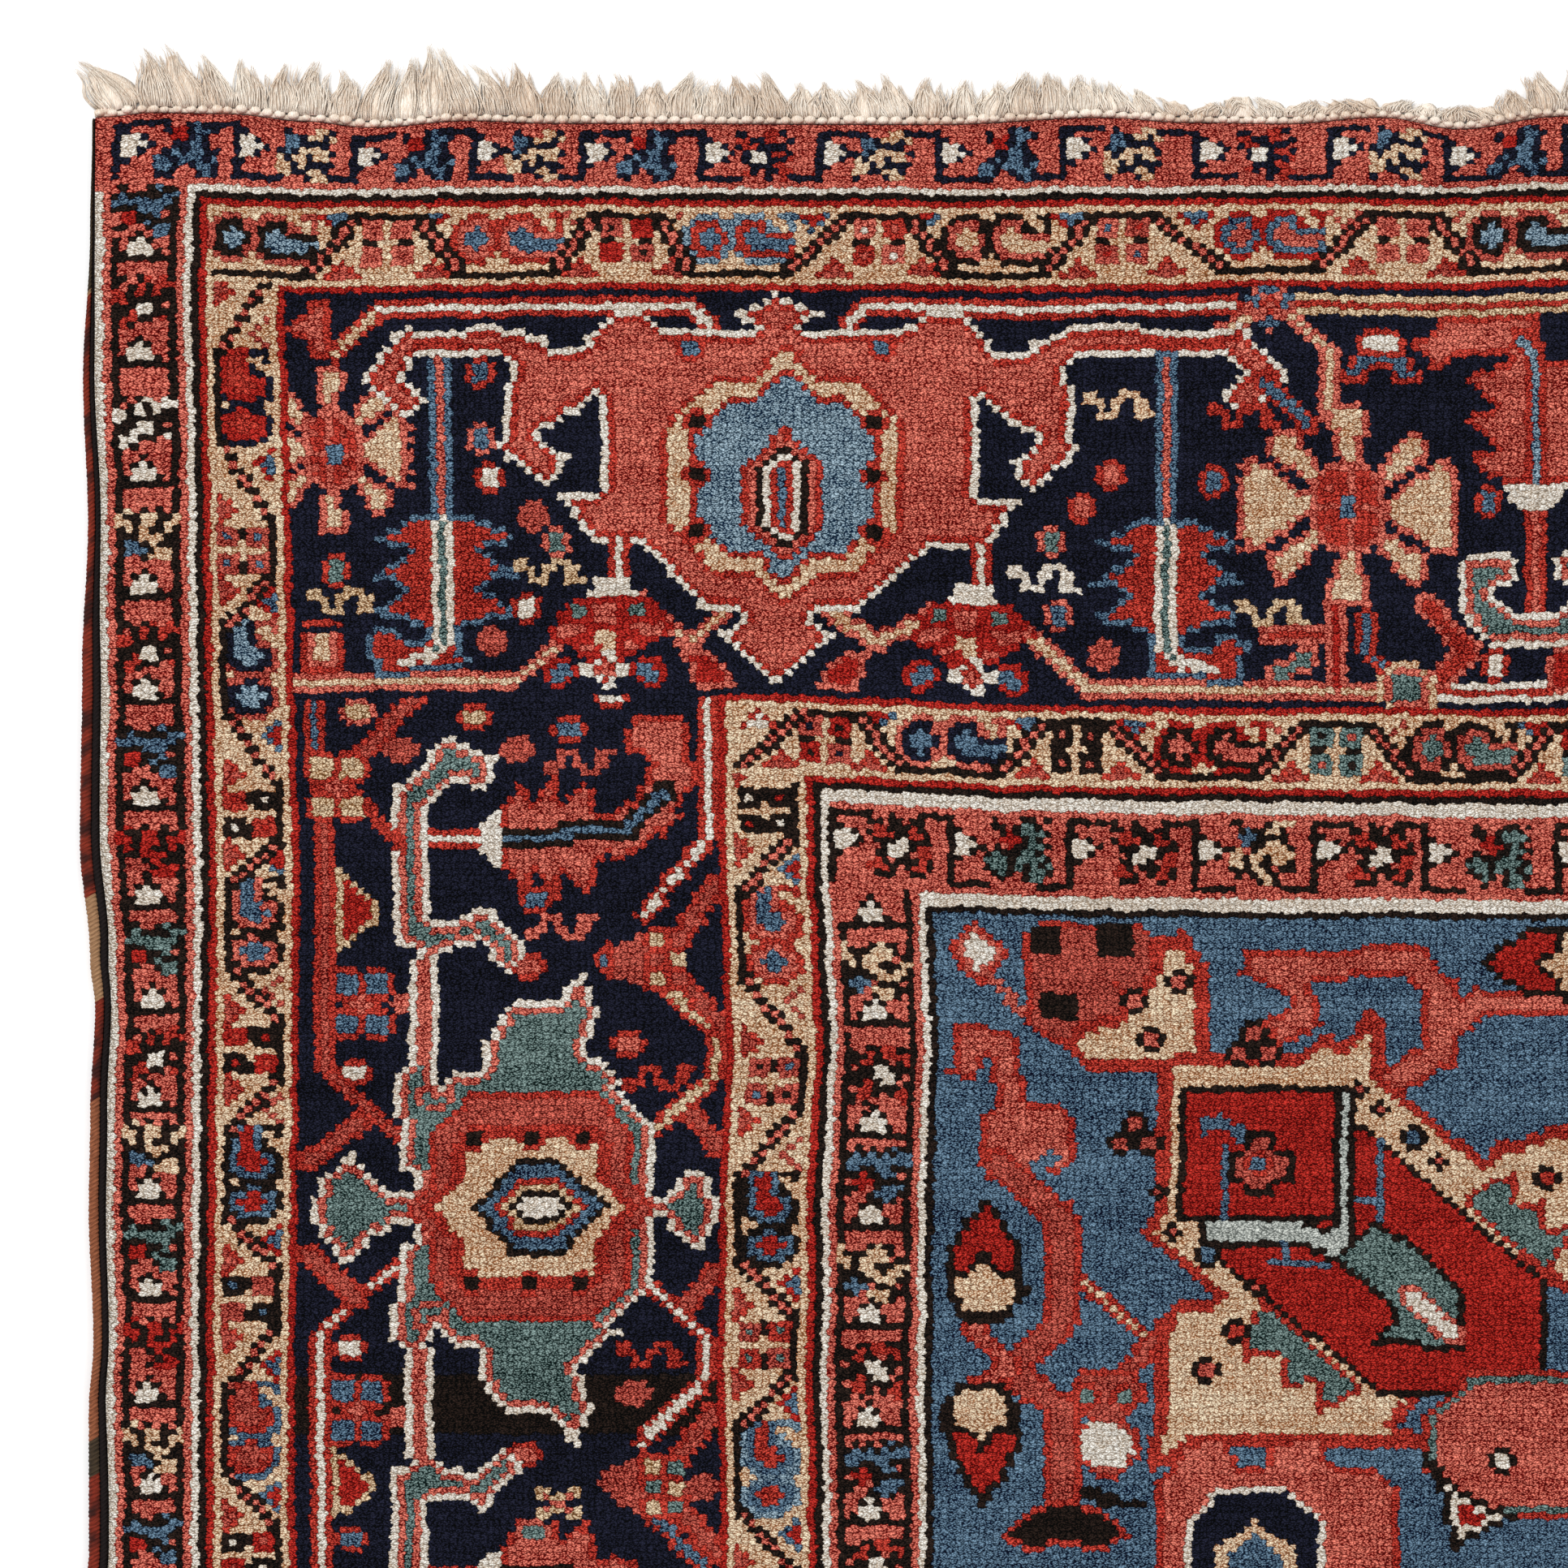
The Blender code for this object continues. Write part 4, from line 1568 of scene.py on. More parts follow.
def edge_faces(upper, lower, turned_round):
    """An edge of the cloth. Its top has two stretches for each one of its back."""
    faces = np.stack([upper[:-2:2], upper[1:-1:2], upper[2::2], lower[1:], lower[:-1]], -1)
    return faces[:, [2, 1, 0, 4, 3]] if turned_round else faces


def pile_points(col, row, chart):
    """The points of the cloth: its top, and under every other row and column its back."""
    x, y = lay(col.astype(float), row.astype(float))
    z = pile_surface(col, row, chart)
    z[(row == 0) | (row == KNOTS_ALONG) | (col == 0) | (col == KNOTS_ACROSS)] = RIM_HEIGHT
    top = np.stack([x, y, z], -1)
    back = np.stack([x, y, np.zeros_like(z)], -1)[::2, ::2]
    return np.concatenate([top.reshape(-1, 3), back.reshape(-1, 3)])


def pile_faces(tall, wide):
    """The faces of the cloth's top, of its back and of its four edges."""
    back_tall, back_wide = (tall + 1) // 2, (wide + 1) // 2
    top = np.arange(tall * wide).reshape(tall, wide)
    back = tall * wide + np.arange(back_tall * back_wide).reshape(back_tall, back_wide)
    edges = [
        edge_faces(top[0], back[0], False),
        edge_faces(top[-1], back[-1], True),
        edge_faces(top[:, 0], back[:, 0], True),
        edge_faces(top[:, -1], back[:, -1], False),
    ]
    return grid_faces(top, True), grid_faces(back, False), np.concatenate(edges)


def pile_numbers(cols, rows, chart):
    """What each face carries for the material: its window's place and the wools in it."""
    top_codes = coded_rows(chart, -1, -1, BLOCK_ROWS, BLOCK_COLS)
    back_codes = coded_rows(chart, 0, 0, BACK_ROWS, BACK_COLS)
    top_col, top_row = np.meshgrid(cols[:-1], rows[:-1])
    back_col, back_row = np.meshgrid(cols[:-1:2], rows[:-1:2])

    def everywhere(on_top, on_back):
        edges = [on_back[0], on_back[-1], on_back[:, 0], on_back[:, -1]]
        return np.concatenate([on_top.ravel(), on_back.ravel(), *edges])

    numbers = {}
    for i, (on_top, on_back) in enumerate(zip(top_codes, back_codes)):
        numbers[f"knot_row_{i}"] = everywhere(on_top, on_back)
    numbers["window_col"] = everywhere(top_col - 1, back_col)
    numbers["window_row"] = everywhere(top_row - 1, back_row)
    return numbers


def on_picture(area, across, up):
    left, width, bottom, height = area
    return np.stack([left + across * width, bottom + up * height], -1)


def bake_places(places, heights, top_corners, back_corners):
    """Where each corner goes on the baked picture: the top large, the rest beside it."""
    share = places / (KNOTS_ACROSS, KNOTS_ALONG)
    across, up = share[:, 0], 1 - share[:, 1]
    out = on_picture(BAKED_TOP, across, up)
    back = slice(top_corners, top_corners + back_corners)
    out[back] = on_picture(BAKED_BACK, across[back], up[back])
    edges = slice(back.stop, None)
    out[edges] = on_picture(BAKED_EDGES, heights[edges] / PILE_HEIGHT, (across + up)[edges])
    out[edges, 0] += BAKED_EDGE_STEP * (across[edges] > 0.5)
    return out


def knot_and_edge(g, root):
    """The knot that a tuft grows from, and how far it is from the next knot."""
    shift = (0.5 - KNOT_UNEVENNESS / 2,) * 2 + (0.0,)
    at = g.vector("SUBTRACT", root, shift)
    cell = {"Vector": at, "Scale": 1.0, "Randomness": KNOT_UNEVENNESS}
    knots = g.node("ShaderNodeTexVoronoi", cell, voronoi_dimensions="2D", feature="F1")
    gaps = g.node("ShaderNodeTexVoronoi", cell, voronoi_dimensions="2D", feature="DISTANCE_TO_EDGE")
    knot = g.vector("FLOOR", g.vector("ADD", knots.outputs["Position"], (0.002, 0.002, 0)))
    return knot, gaps.outputs["Distance"]


def wool_colours(g, knot):
    """The colours of a knot's wool: with painted shade between its tufts, and with a painted highlight on
    their tips.

    The knot's row picks one of the numbers that its face carries, and its column a digit of it.
    """
    knot_col, knot_row = g.split(knot)[:2]
    across = g.math("MAXIMUM", g.math("SUBTRACT", knot_col, g.number("window_col")), 0.0)
    across = g.math("MINIMUM", across, WINDOW_COLS - 1.0)
    down = g.math("MAXIMUM", g.math("SUBTRACT", knot_row, g.number("window_row")), 0.0)
    down = g.math("MINIMUM", down, WINDOW_ROWS - 1.0)
    code = 0.0
    for i in range(WINDOW_ROWS):
        here = g.math("COMPARE", down, float(i), 0.3)
        code = g.math("MULTIPLY_ADD", g.number(f"knot_row_{i}"), here, code)
    shifted = g.math("DIVIDE", g.math("ADD", code, 0.5), g.math("POWER", float(CODE), across))
    digit = g.math("MODULO", g.math("FLOOR", shifted), float(CODE))
    number = g.math("DIVIDE", g.math("ADD", digit, 0.5), float(CODE))
    _, *columns = zip(*WOOLS.values())
    colours = []
    for shades in columns:
        stops = [(i / CODE, linear(shade)) for i, shade in enumerate(shades)]
        colours.append(g.ramp(number, stops, "CONSTANT"))
    return colours


def pile_material():
    g = Graph("knotted_wool", 0.95)
    g.shader.inputs["Specular IOR Level"].default_value = 0.08
    weave = g.node("ShaderNodeUVMap", uv_map="weave").outputs["UV"]

    # Rows and columns wander a little
    slow = g.vector("SUBTRACT", g.noise(weave, 0.13).outputs["Color"], (0.5, 0.5, 0.5))
    fine = g.vector("SUBTRACT", g.noise(weave, 1.1, 1.0).outputs["Color"], (0.5, 0.5, 0.5))
    stray = g.vector("ADD", g.vector("SCALE", slow, SLOW_STRAY), g.vector("SCALE", fine, FINE_STRAY))
    place = g.vector("ADD", weave, stray)

    # Each knot is cut to a few tufts, which lean over one another
    mapping = {"Rotation": TUFT_LEAN, "Scale": TUFTS}
    lie = g.node("ShaderNodeMapping", {"Vector": place, **mapping}).outputs[0]
    cell = {"Vector": lie, "Scale": 1.0, "Randomness": 1.0}
    tufts = g.node("ShaderNodeTexVoronoi", cell, voronoi_dimensions="2D", feature="F1")
    mapping["Vector"] = tufts.outputs["Position"]
    tuft_from = g.node("ShaderNodeMapping", mapping, vector_type="TEXTURE").outputs[0]
    loose = g.vector("SCALE", place, 1 - TUFT_HOLD)
    root = g.vector("ADD", loose, g.vector("SCALE", tuft_from, TUFT_HOLD))
    knot, edge = knot_and_edge(g, root)
    shade, light = wool_colours(g, knot)

    # How light a spot is: a painted highlight on its tuft's crown and on its knot's middle, darker towards
    # their edges, its knot, the dye lot of its row, and wear
    crown = g.ease(tufts.outputs["Distance"], 0.12, 0.62, 1.0, 0.0)
    fibres = g.noise(lie, 2.4, 2.0, 0.6).outputs["Fac"]
    own = g.node("ShaderNodeTexWhiteNoise", {"Vector": knot}, noise_dimensions="2D").outputs["Value"]
    lot = g.noise(g.vector("MULTIPLY", weave, (0.006, 0.16, 1.0)), 1.0, 3.0).outputs["Fac"]
    wear = g.noise(weave, 0.05, 4.0, 0.6).outputs["Fac"]
    dome = g.ease(edge, 0.0, 0.34)
    lightness = -0.84
    for part, weight, both_ways in (
        (crown, 0.8, False),
        (fibres, 1.3, False),
        (own, 0.34, True),
        (lot, 0.75, True),
        (wear, 0.4, True),
        (dome, 0.35, False),
    ):
        lightness = g.math("MULTIPLY_ADD", part, weight, lightness)
        if both_ways:
            lightness = g.math("SUBTRACT", lightness, weight / 2)
    lightness = g.math("MAXIMUM", g.math("MINIMUM", lightness, MOST_LIGHT), LEAST_LIGHT)
    wool = g.mix(lightness, shade, light)
    wool.node.clamp_factor = False

    # Painted shade: the gaps between knots and tufts are darkened, some more than others
    gap_share = g.ease(g.noise(weave, 0.9, 1.0).outputs["Fac"], 0.35, 0.65, 0.66, 1.0)
    painted_gap_shade = g.math("MAXIMUM", g.ease(edge, 0.0, 0.13), gap_share)
    painted_gap_shade = g.math("MULTIPLY", painted_gap_shade, g.ease(tufts.outputs["Distance"], 0.4, 0.8, 1.0, 0.35))
    colour = g.vector("SCALE", wool, painted_gap_shade)
    height = g.math("MULTIPLY_ADD", crown, 0.55, g.math("MULTIPLY", dome, 0.6))
    return g.finish(colour, height, PILE_RELIEF)


def make_pile(chart):
    """One closed cloth: a fine top, a coarser back, and edges between them."""
    cols = np.arange(0, KNOTS_ACROSS + 1, BLOCK_COLS)
    rows = np.arange(0, KNOTS_ALONG + 1, BLOCK_ROWS)
    col, row = np.meshgrid(cols, rows)
    points = pile_points(col, row, chart)
    top, back, edges = pile_faces(len(rows), len(cols))
    faces = top.tolist() + back.tolist() + edges.tolist()
    piece = make_piece("knotted_pile", points, faces, pile_material(), "pile_wool", "rug_body")

    mesh = piece.data
    for name, values in pile_numbers(cols, rows, chart).items():
        face_numbers(mesh, name, values)
    chart_places = np.stack([col, row], -1)
    places = np.concatenate([chart_places.reshape(-1, 2), chart_places[::2, ::2].reshape(-1, 2)])
    corners = np.zeros(len(mesh.loops), np.int32)
    mesh.loops.foreach_get("vertex_index", corners)
    heights = np.array([vertex.co.z for vertex in mesh.vertices])[corners]
    baked = bake_places(places[corners], heights, top.size, back.size)
    corner_points(mesh, "weave", places[corners])
    corner_points(mesh, "OFBake", baked)
    mesh.uv_layers.active = mesh.uv_layers["weave"]
    mesh.shade_smooth()
    return piece


pile = make_pile(chart)


# --- Fringes --------------------------------------------------------------------------------

YARNS = 27  # on the face of one lock
YARN_STEPS = 8
YARN_SIDES = 3
YARN_RADIUS = 0.00042
YARN_SIZES = (0.8, 1.25)
YARN_SWELL = (0.0003, 0.0011)
YARN_TURNS = (0.8, 1.9)
YARN_STRAY = 0.0009
LOOSE_YARNS = 0.16  # share of the yarns that stray much further
LOOSE_STRAY = 0.003
YARN_HEIGHT = 0.0009  # over the floor at the lock's tip
YARN_ROOT_RISE = 0.0031
YARN_BELLY_RISE = 0.0018
BODY_STEPS = 9
BODY_SIDES = 8
BODY_HEIGHT = 0.001  # of its middle, over the floor
BODY_BULGE = 0.0018
BULGE_SPREAD = 0.0006
BODY_THIN = 0.0003  # what is left of the bulge at its end
BODY_END, LOOPED_BODY_END = 0.78, 0.93  # share of the lock's length
LOOPED_LOCKS = (36,)  # tied back on themselves, counted from the left
SHORT_REACH = 0.014  # locks shorter than this curl over, the more so down to 5 mm shorter
CURL_EASE = 0.005
CURL_REACH = 0.007
ROOT_SHARE = 0.8  # a lock starts this far through the row of warp knots
HIDDEN_SHARE = 0.2  # and so much of the row is added to its length
ROOT_SHIFT = 0.0012  # its root stands to the right of its pitch, and its tip to the left
LOCK_SWAY = (0.0008, 0.002)
LOCK_TURNS = (0.6, 1.1)  # of its sway, from root to tip
LOCK_FULLNESS = (1.05, 1.45)  # width at the root, to its share of the pitch
LOCK_BELLY = 0.34
TIP_WIDTH = 0.0008
MIDDLE_POINT = (-0.0012, 0.0012)
SPLIT_PLACES = (0.0032, 0.0072)  # how far a lock's side points stand from its middle
SPLIT_REACH = (0.74, 0.96)  # how far along the lock they end

WARP_KNOT_PITCH = 0.0065
WARP_KNOT_SIZE = (0.0029, 0.0024, 0.0022)
WARP_KNOT_SIZES = (0.85, 1.12)
WARP_KNOT_SPACING = (0.9, 1.1)
WARP_KNOT_STRAY = 0.0004
WARP_KNOT_STEPS = 5
WARP_KNOT_SIDES = 7
BOUND_EDGE_HEIGHT = 0.0012
BOUND_EDGE_SIDES = 6
# What keeps the fringe clear of the pile: the locks' line, the bound edge and the warp knots
LINE_GAP = 2 * PART_GAP
BOUND_EDGE_GAP = 2.2 * PART_GAP
WARP_KNOT_GAP = 1.6 * PART_GAP

# The baked picture has a cell for each lock, and strips at its sides for the rest
CELLS_ACROSS, CELLS_UP = 12, 11
CELL_ACROSS = (0.06, 0.88)  # where the lock starts in its cell, and how wide it is
CELL_UP = (0.05, 0.9)
BOUND_EDGE_STRIP = 0.003
WARP_KNOT_STRIP = 0.98
STRIP_WIDTH = 0.01


def end_line(y_at):
    """The pile's edge at one end, from left to right: a straight stretch for each lock."""
    xs = np.linspace(-PILE_WIDTH / 2, PILE_WIDTH / 2, LOCKS + 1)
    ys = y_at(xs)
    xs[0], xs[-1] = left_x(ys[0]), right_x(ys[-1])
    return list(zip(xs.tolist(), ys.tolist()))


def reach_at(distance, table):
    """How far the fringe reaches from the pile, this far along it."""
    if table and distance <= table[-1][0] * MM:
        return float(read_table(table, distance))
    height, length = REACH_WAVE
    past = distance - (table[-1][0] * MM if table else 0.0)
    return PLAIN_REACH + height * math.sin(math.tau * past / length)


def lock_plan(line, table, seed):
    """Each lock's root, length and tip: (left corner, right corner, length, tip's x)."""
    draw = random.Random(seed)
    plan = []
    last_tip = -PILE_WIDTH
    for i, ((start_x, start_y), (end_x, end_y)) in enumerate(zip(line, line[1:])):
        pitch_x, pitch_y = end_x - start_x, end_y - start_y
        margin = (1 - LOCK_ROOT_SHARE) / 2
        left = (start_x + pitch_x * margin, start_y + pitch_y * margin)
        right = (end_x - pitch_x * margin, end_y - pitch_y * margin)
        distance = left[0] + PILE_WIDTH / 2
        length = reach_at(distance, table) * (1 + LOCK_UNEVENNESS * draw.uniform(-1, 1))
        length = max(LOCK_MIN_LENGTH, length - KNOT_ROW_DEPTH)
        lean = LEAN_UNEVENNESS * draw.uniform(-1, 1)
        for size, wavelength, phase in LEAN_WAVES:
            lean += size * math.sin(math.tau * distance / wavelength + phase)
        tip = (left[0] + right[0]) / 2 + lean * length
        if i == 0:
            tip = line[0][0] - SELVEDGE_WIDTH - SIDEWAYS_LOCK
        tip = max(tip, last_tip + LOCK_MIN_SPACING)
        last_tip = tip
        plan.append((left, right, length, tip))
    return plan


class Heap:
    """Points and faces of one piece, gathered tube by tube, with a place on its pictures."""

    def __init__(self):
        self.points = []
        self.faces = []
        self.places = []  # for each corner of each face

    def tube(self, centres, widths, heights, sides, place, turn=0.0):
        """A closed tube along these centres. place gives (u, v) for a share round and along."""
        base = len(self.points)
        rings = len(centres)
        for i, (x, y, z) in enumerate(centres):
            before, after = centres[max(0, i - 1)], centres[min(rings - 1, i + 1)]
            dx, dy = after[0] - before[0], after[1] - before[1]
            size = math.hypot(dx, dy) or 1.0
            across = (-dy / size, dx / size)
            for j in range(sides):
                angle = math.tau * j / sides + turn
                side, up = widths[i] * math.cos(angle), heights[i] * math.sin(angle)
                self.points.append((x + across[0] * side, y + across[1] * side, max(0.0, z + up)))
        for i in range(rings - 1):
            for j in range(sides):
                k = (j + 1) % sides
                a, b = base + i * sides, base + (i + 1) * sides
                self.faces.append((a + j, b + j, b + k, a + k))
                near, far = i / (rings - 1), (i + 1) / (rings - 1)
                here, there = j / sides, (j + 1) / sides
                corners = ((here, near), (here, far), (there, far), (there, near))
                self.places += [place(*corner) for corner in corners]
        last = base + (rings - 1) * sides
        self.faces.append(tuple(range(base, base + sides)))
        self.places += [place(j / sides, 0.0) for j in range(sides)]
        self.faces.append(tuple(range(last + sides - 1, last - 1, -1)))
        self.places += [place(j / sides, 1.0) for j in range(sides)][::-1]


class Lock:
    """A lock of frayed cotton, from its root (0) to its tip (1)."""

    def __init__(self, number, plan, outward, draw):
        left, right, length, tip = plan
        self.number = number
        self.outward = outward
        self.draw = draw
        self.length = length + KNOT_ROW_DEPTH * HIDDEN_SHARE
        self.root_x = (left[0] + right[0]) / 2 + ROOT_SHIFT
        root_y = (left[1] + right[1]) / 2
        self.root_y = root_y + outward * (PART_GAP + KNOT_ROW_DEPTH * ROOT_SHARE)
        self.tip_x = tip - ROOT_SHIFT
        self.sway = draw.uniform(*LOCK_SWAY)
        self.turns = draw.uniform(*LOCK_TURNS)
        self.phase = draw.uniform(0, math.tau)
        self.wide = (right[0] - left[0]) / 2 * draw.uniform(*LOCK_FULLNESS)
        short = max(0.0, min(1.0, (SHORT_REACH - self.length) / CURL_EASE))
        self.curl = short * draw.choice((-1, 1, 1))
        self.looped = number in LOOPED_LOCKS

    def middle(self, t):
        swing = math.sin(math.tau * self.turns * t + self.phase) - math.sin(self.phase)
        x = self.root_x + (self.tip_x - self.root_x) * t**1.4 + self.sway * swing * t
        return x, self.root_y + self.outward * self.length * t

    def half_width(self, t):
        share = 1 - max(0.0, t) ** 1.8
        belly = 0.86 + LOCK_BELLY * math.sin(math.pi * min(1.0, t * 1.3))
        return self.wide * belly * share + TIP_WIDTH

    def cell(self, across, along):
        """A place in this lock's cell of the baked picture."""
        u = (CELL_ACROSS[0] + CELL_ACROSS[1] * across) / CELLS_ACROSS
        v = (CELL_UP[0] + CELL_UP[1] * along) / CELLS_UP
        column, row = self.number % CELLS_ACROSS, self.number // CELLS_ACROSS
        return column / CELLS_ACROSS + u, row / CELLS_UP + v

    def add_body(self, heap):
        """The inside of the lock, which the yarns lie on."""
        bulge = BODY_BULGE + BULGE_SPREAD * self.draw.random()
        end = LOOPED_BODY_END if self.looped else BODY_END
        centres, widths, heights = [], [], []
        for i in range(BODY_STEPS):
            t = i / (BODY_STEPS - 1)
            centres.append((*self.middle(t * end), BODY_HEIGHT))
            if self.looped:
                widths.append(self.half_width(0) * (0.9 - 0.1 * t))
            else:
                widths.append(self.half_width(t * end) * (0.86 - 0.3 * t))
            round_ = 0.75 + 0.35 * math.sin(math.pi * t)
            heights.append(bulge * (1 - t**2.5) * round_ + BODY_THIN)
        heap.tube(centres, widths, heights, BODY_SIDES, lambda a, b: self.cell(abs(1 - 2 * a), b))

    def add_yarns(self, heap):
        """The yarns on the lock, each running out to one of its two or three points."""
        draw = self.draw
        points = [(draw.uniform(*MIDDLE_POINT), 1.0)]
        for _ in range(draw.choice((1, 1, 2))):
            side = draw.choice((-1, 1))
            points.append((side * draw.uniform(*SPLIT_PLACES), draw.uniform(*SPLIT_REACH)))
        for yarn in range(YARNS):
            share = (yarn + draw.random()) / YARNS * 2 - 1
            layer = math.sqrt(max(0.0, 1 - share * share)) * (0.35 + 0.65 * draw.random())
            point, reach = min(points, key=lambda p: abs(p[0] * 160 - share) + draw.random() * 0.7)
            stray = point + draw.gauss(0, YARN_STRAY)
            if draw.random() < LOOSE_YARNS:
                stray += draw.gauss(0, LOOSE_STRAY)
            reach *= 1 - 0.14 * draw.random() ** 2
            self.add_yarn(heap, share, layer, reach, stray)

    def add_yarn(self, heap, share, layer, reach, stray):
        """One yarn. Its share is its place across the lock, from -1 to 1."""
        swell = self.draw.uniform(*YARN_SWELL)
        turns, phase = self.draw.uniform(*YARN_TURNS), self.draw.uniform(0, math.tau)
        thick = YARN_RADIUS * self.draw.uniform(*YARN_SIZES)
        path, radii = [], []
        for i in range(YARN_STEPS):
            t = i / (YARN_STEPS - 1)
            if self.looped:
                x, y = self.middle(math.sin(math.pi * t) * (0.5 + 0.5 * abs(share)))
                x += self.half_width(0) * -math.cos(math.pi * t) * (0.25 + 0.75 * abs(share))
            else:
                x, y = self.middle(t * reach)
                x += share * self.half_width(t) + stray * t * t
                x += self.curl * CURL_REACH * t * t
            x += swell * math.sin(math.tau * turns * t + phase) * (0.4 + t)
            y += swell * 0.5 * math.cos(math.tau * turns * t + phase) * t
            rise = YARN_ROOT_RISE * (1 - t) ** 0.7 + YARN_BELLY_RISE * math.sin(math.pi * t)
            path.append((x, y, YARN_HEIGHT + layer * rise))
            radii.append(thick * (1.15 - 0.25 * t if t < 0.6 else 2.4 * (1 - t) + 0.1))
        across = (share + 1) / 2

        def place(a, b):
            return self.cell(across + 0.02 * (a - 0.5), b)

        heap.tube(path, radii, radii, YARN_SIDES, place, phase)


def add_bound_edge(heap, line, y_at, outward):
    """The narrow edge that the warp knots sit on, as long as the pile and its side cords."""
    reach = SELVEDGE_WIDTH * 0.9
    xs = np.linspace(line[0][0] - reach, line[-1][0] + reach, 2 * (len(line) + 2)).tolist()
    half = KNOT_ROW_DEPTH / 2 * 0.8
    centres = [(x, float(y_at(x)) + outward * (BOUND_EDGE_GAP + half), BODY_HEIGHT) for x in xs]
    widths, heights = [half] * len(xs), [BOUND_EDGE_HEIGHT] * len(xs)

    def place(a, b):
        return BOUND_EDGE_STRIP + a * STRIP_WIDTH, b

    heap.tube(centres, widths, heights, BOUND_EDGE_SIDES, place)


def add_warp_knots(heap, line, y_at, outward, draw):
    """The row of small knots along the pile's end."""
    angles = [math.pi * i / WARP_KNOT_STEPS for i in range(WARP_KNOT_STEPS + 1)]
    rounds = [max(0.06, math.sin(angle)) for angle in angles]

    def place(a, b):
        return WARP_KNOT_STRIP + a * STRIP_WIDTH, b

    knot_x = line[0][0] - SELVEDGE_WIDTH * 0.6
    while knot_x < line[-1][0] + SELVEDGE_WIDTH * 0.7:
        size = draw.uniform(*WARP_KNOT_SIZES)
        x = knot_x + draw.gauss(0, WARP_KNOT_STRAY)
        wide, deep, tall = (size * part for part in WARP_KNOT_SIZE)
        y = outward * max(outward * float(y_at(x + side * wide)) for side in (-1, 0, 1))
        y += outward * (WARP_KNOT_GAP + deep * 0.95 + 0.0005 * draw.random())
        centres = [(x - wide * math.cos(angle), y, tall + 0.0002) for angle in angles]
        widths, heights = [deep * r for r in rounds], [tall * r for r in rounds]
        heap.tube(centres, widths, heights, WARP_KNOT_SIDES, place)
        knot_x += WARP_KNOT_PITCH * draw.uniform(*WARP_KNOT_SPACING)


def fringe_piece(name, y_at, outward, table, seed, material):
    """A row of warp knots and the frayed cotton locks that hang from it."""
    line = [(x, y + outward * LINE_GAP) for x, y in end_line(y_at)]
    draw = random.Random(seed + 100)
    heap = Heap()
    add_bound_edge(heap, line, y_at, outward)
    add_warp_knots(heap, line, y_at, outward, draw)
    for number, plan in enumerate(lock_plan(line, table, seed)):
        if number == 0:
            # The first lock spreads over the side cord's end
            (start_x, start_y), *rest = plan
            plan = ((start_x - SELVEDGE_WIDTH * 0.8, start_y), *rest)
        lock = Lock(number, plan, outward, draw)
        lock.add_body(heap)
        lock.add_yarns(heap)
    piece = make_piece(name, heap.points, heap.faces, material, "fringe_cotton", name)
    corner_points(piece.data, "OFBake", heap.places)
    piece.data.shade_smooth()


def cotton_material():
    g = Graph("frayed_cotton", 0.85)
    g.shader.inputs["Sheen Weight"].default_value = 0.1
    g.shader.inputs["Specular IOR Level"].default_value = 0.2
    place = g.node("ShaderNodeTexCoord").outputs["Object"]
    warped = g.vector("ADD", place, g.vector("SCALE", g.noise(place, 90.0).outputs["Color"], 0.004))
    fibres = g.noise(g.vector("MULTIPLY", warped, (2600.0, 260.0, 1400.0)), 1.0, 3.0, 0.6).outputs["Fac"]
    soiled = g.noise(place, 34.0, 3.0).outputs["Fac"]
    lightness = g.math("ADD", g.ease(fibres, 0.32, 0.66, 0.0, 0.62), g.ease(soiled, 0.3, 0.7, 0.0, 0.42))
    colour = g.mix(lightness, linear((198, 168, 140)), linear((255, 247, 234)))
    return g.finish(colour, fibres, 0.0006)


cotton = cotton_material()
fringe_piece("fringe_top", top_y, 1, FRINGE_REACH, 7, cotton)
fringe_piece("fringe_bottom", bottom_y, -1, (), 11, cotton)


# --- Side cords -----------------------------------------------------------------------------

WRAP_PITCH = 0.0022
WRAP_SLANT = 0.0016
WRAP_RELIEF = 0.88  # size of a cord between two wraps, to its size on one
WRAP_UNEVENNESS = (0.94, 1.05)
CORD_SIDES = 8
CORD_TURN = 0.2  # of the sides, so that none lies flat on the floor
CORD_END_GAP = 0.0004
CORD_GAP = 2.2 * PART_GAP  # from the pile
OUTER_HALF = SELVEDGE_WIDTH * OUTER_CORD_SHARE / 2
INNER_HALF = SELVEDGE_WIDTH * (1 - OUTER_CORD_SHARE) / 2
INNER_FULLNESS = 1.04
# Each cord's middle, out from the pile, its half width and height, and its rings' sizes in a wrap
CORDS = (
    (SELVEDGE_WIDTH - OUTER_HALF, OUTER_HALF, OUTER_CORD_HEIGHT / 2, (WRAP_RELIEF, 1.0)),
    (CORD_GAP + INNER_HALF, INNER_HALF * INNER_FULLNESS, INNER_CORD_HEIGHT / 2, (1.0,)),
)

# The baked picture shows the cords cut into strips, two cords to a strip
CORD_STRIPS = 16
CORD_COLUMN = (0.06, 0.88)  # where a cord starts in its column, and how wide it is
CORD_COLUMN_UP = (0.004, 0.99)
CAP_PLACE = (0.999, 0.999)

# The cords' wools, as sRGB: lit on a wrap, and with painted shade between two
CORD_WOOLS = {
    "rust": ((146, 52, 34), (66, 20, 13)),
    "olive": ((74, 60, 44), (30, 25, 20)),
    "camel": ((170, 132, 98), (112, 78, 52)),
    "tawny": ((160, 97, 66), (84, 44, 28)),
    "ink": ((34, 26, 26), (9, 7, 8)),
}
WORN_RUST = (40, 26, 24)
CORD_RELIEF = 0.0005
DYES = {wool: (i + 0.5) / len(CORD_WOOLS) for i, wool in enumerate(CORD_WOOLS)}
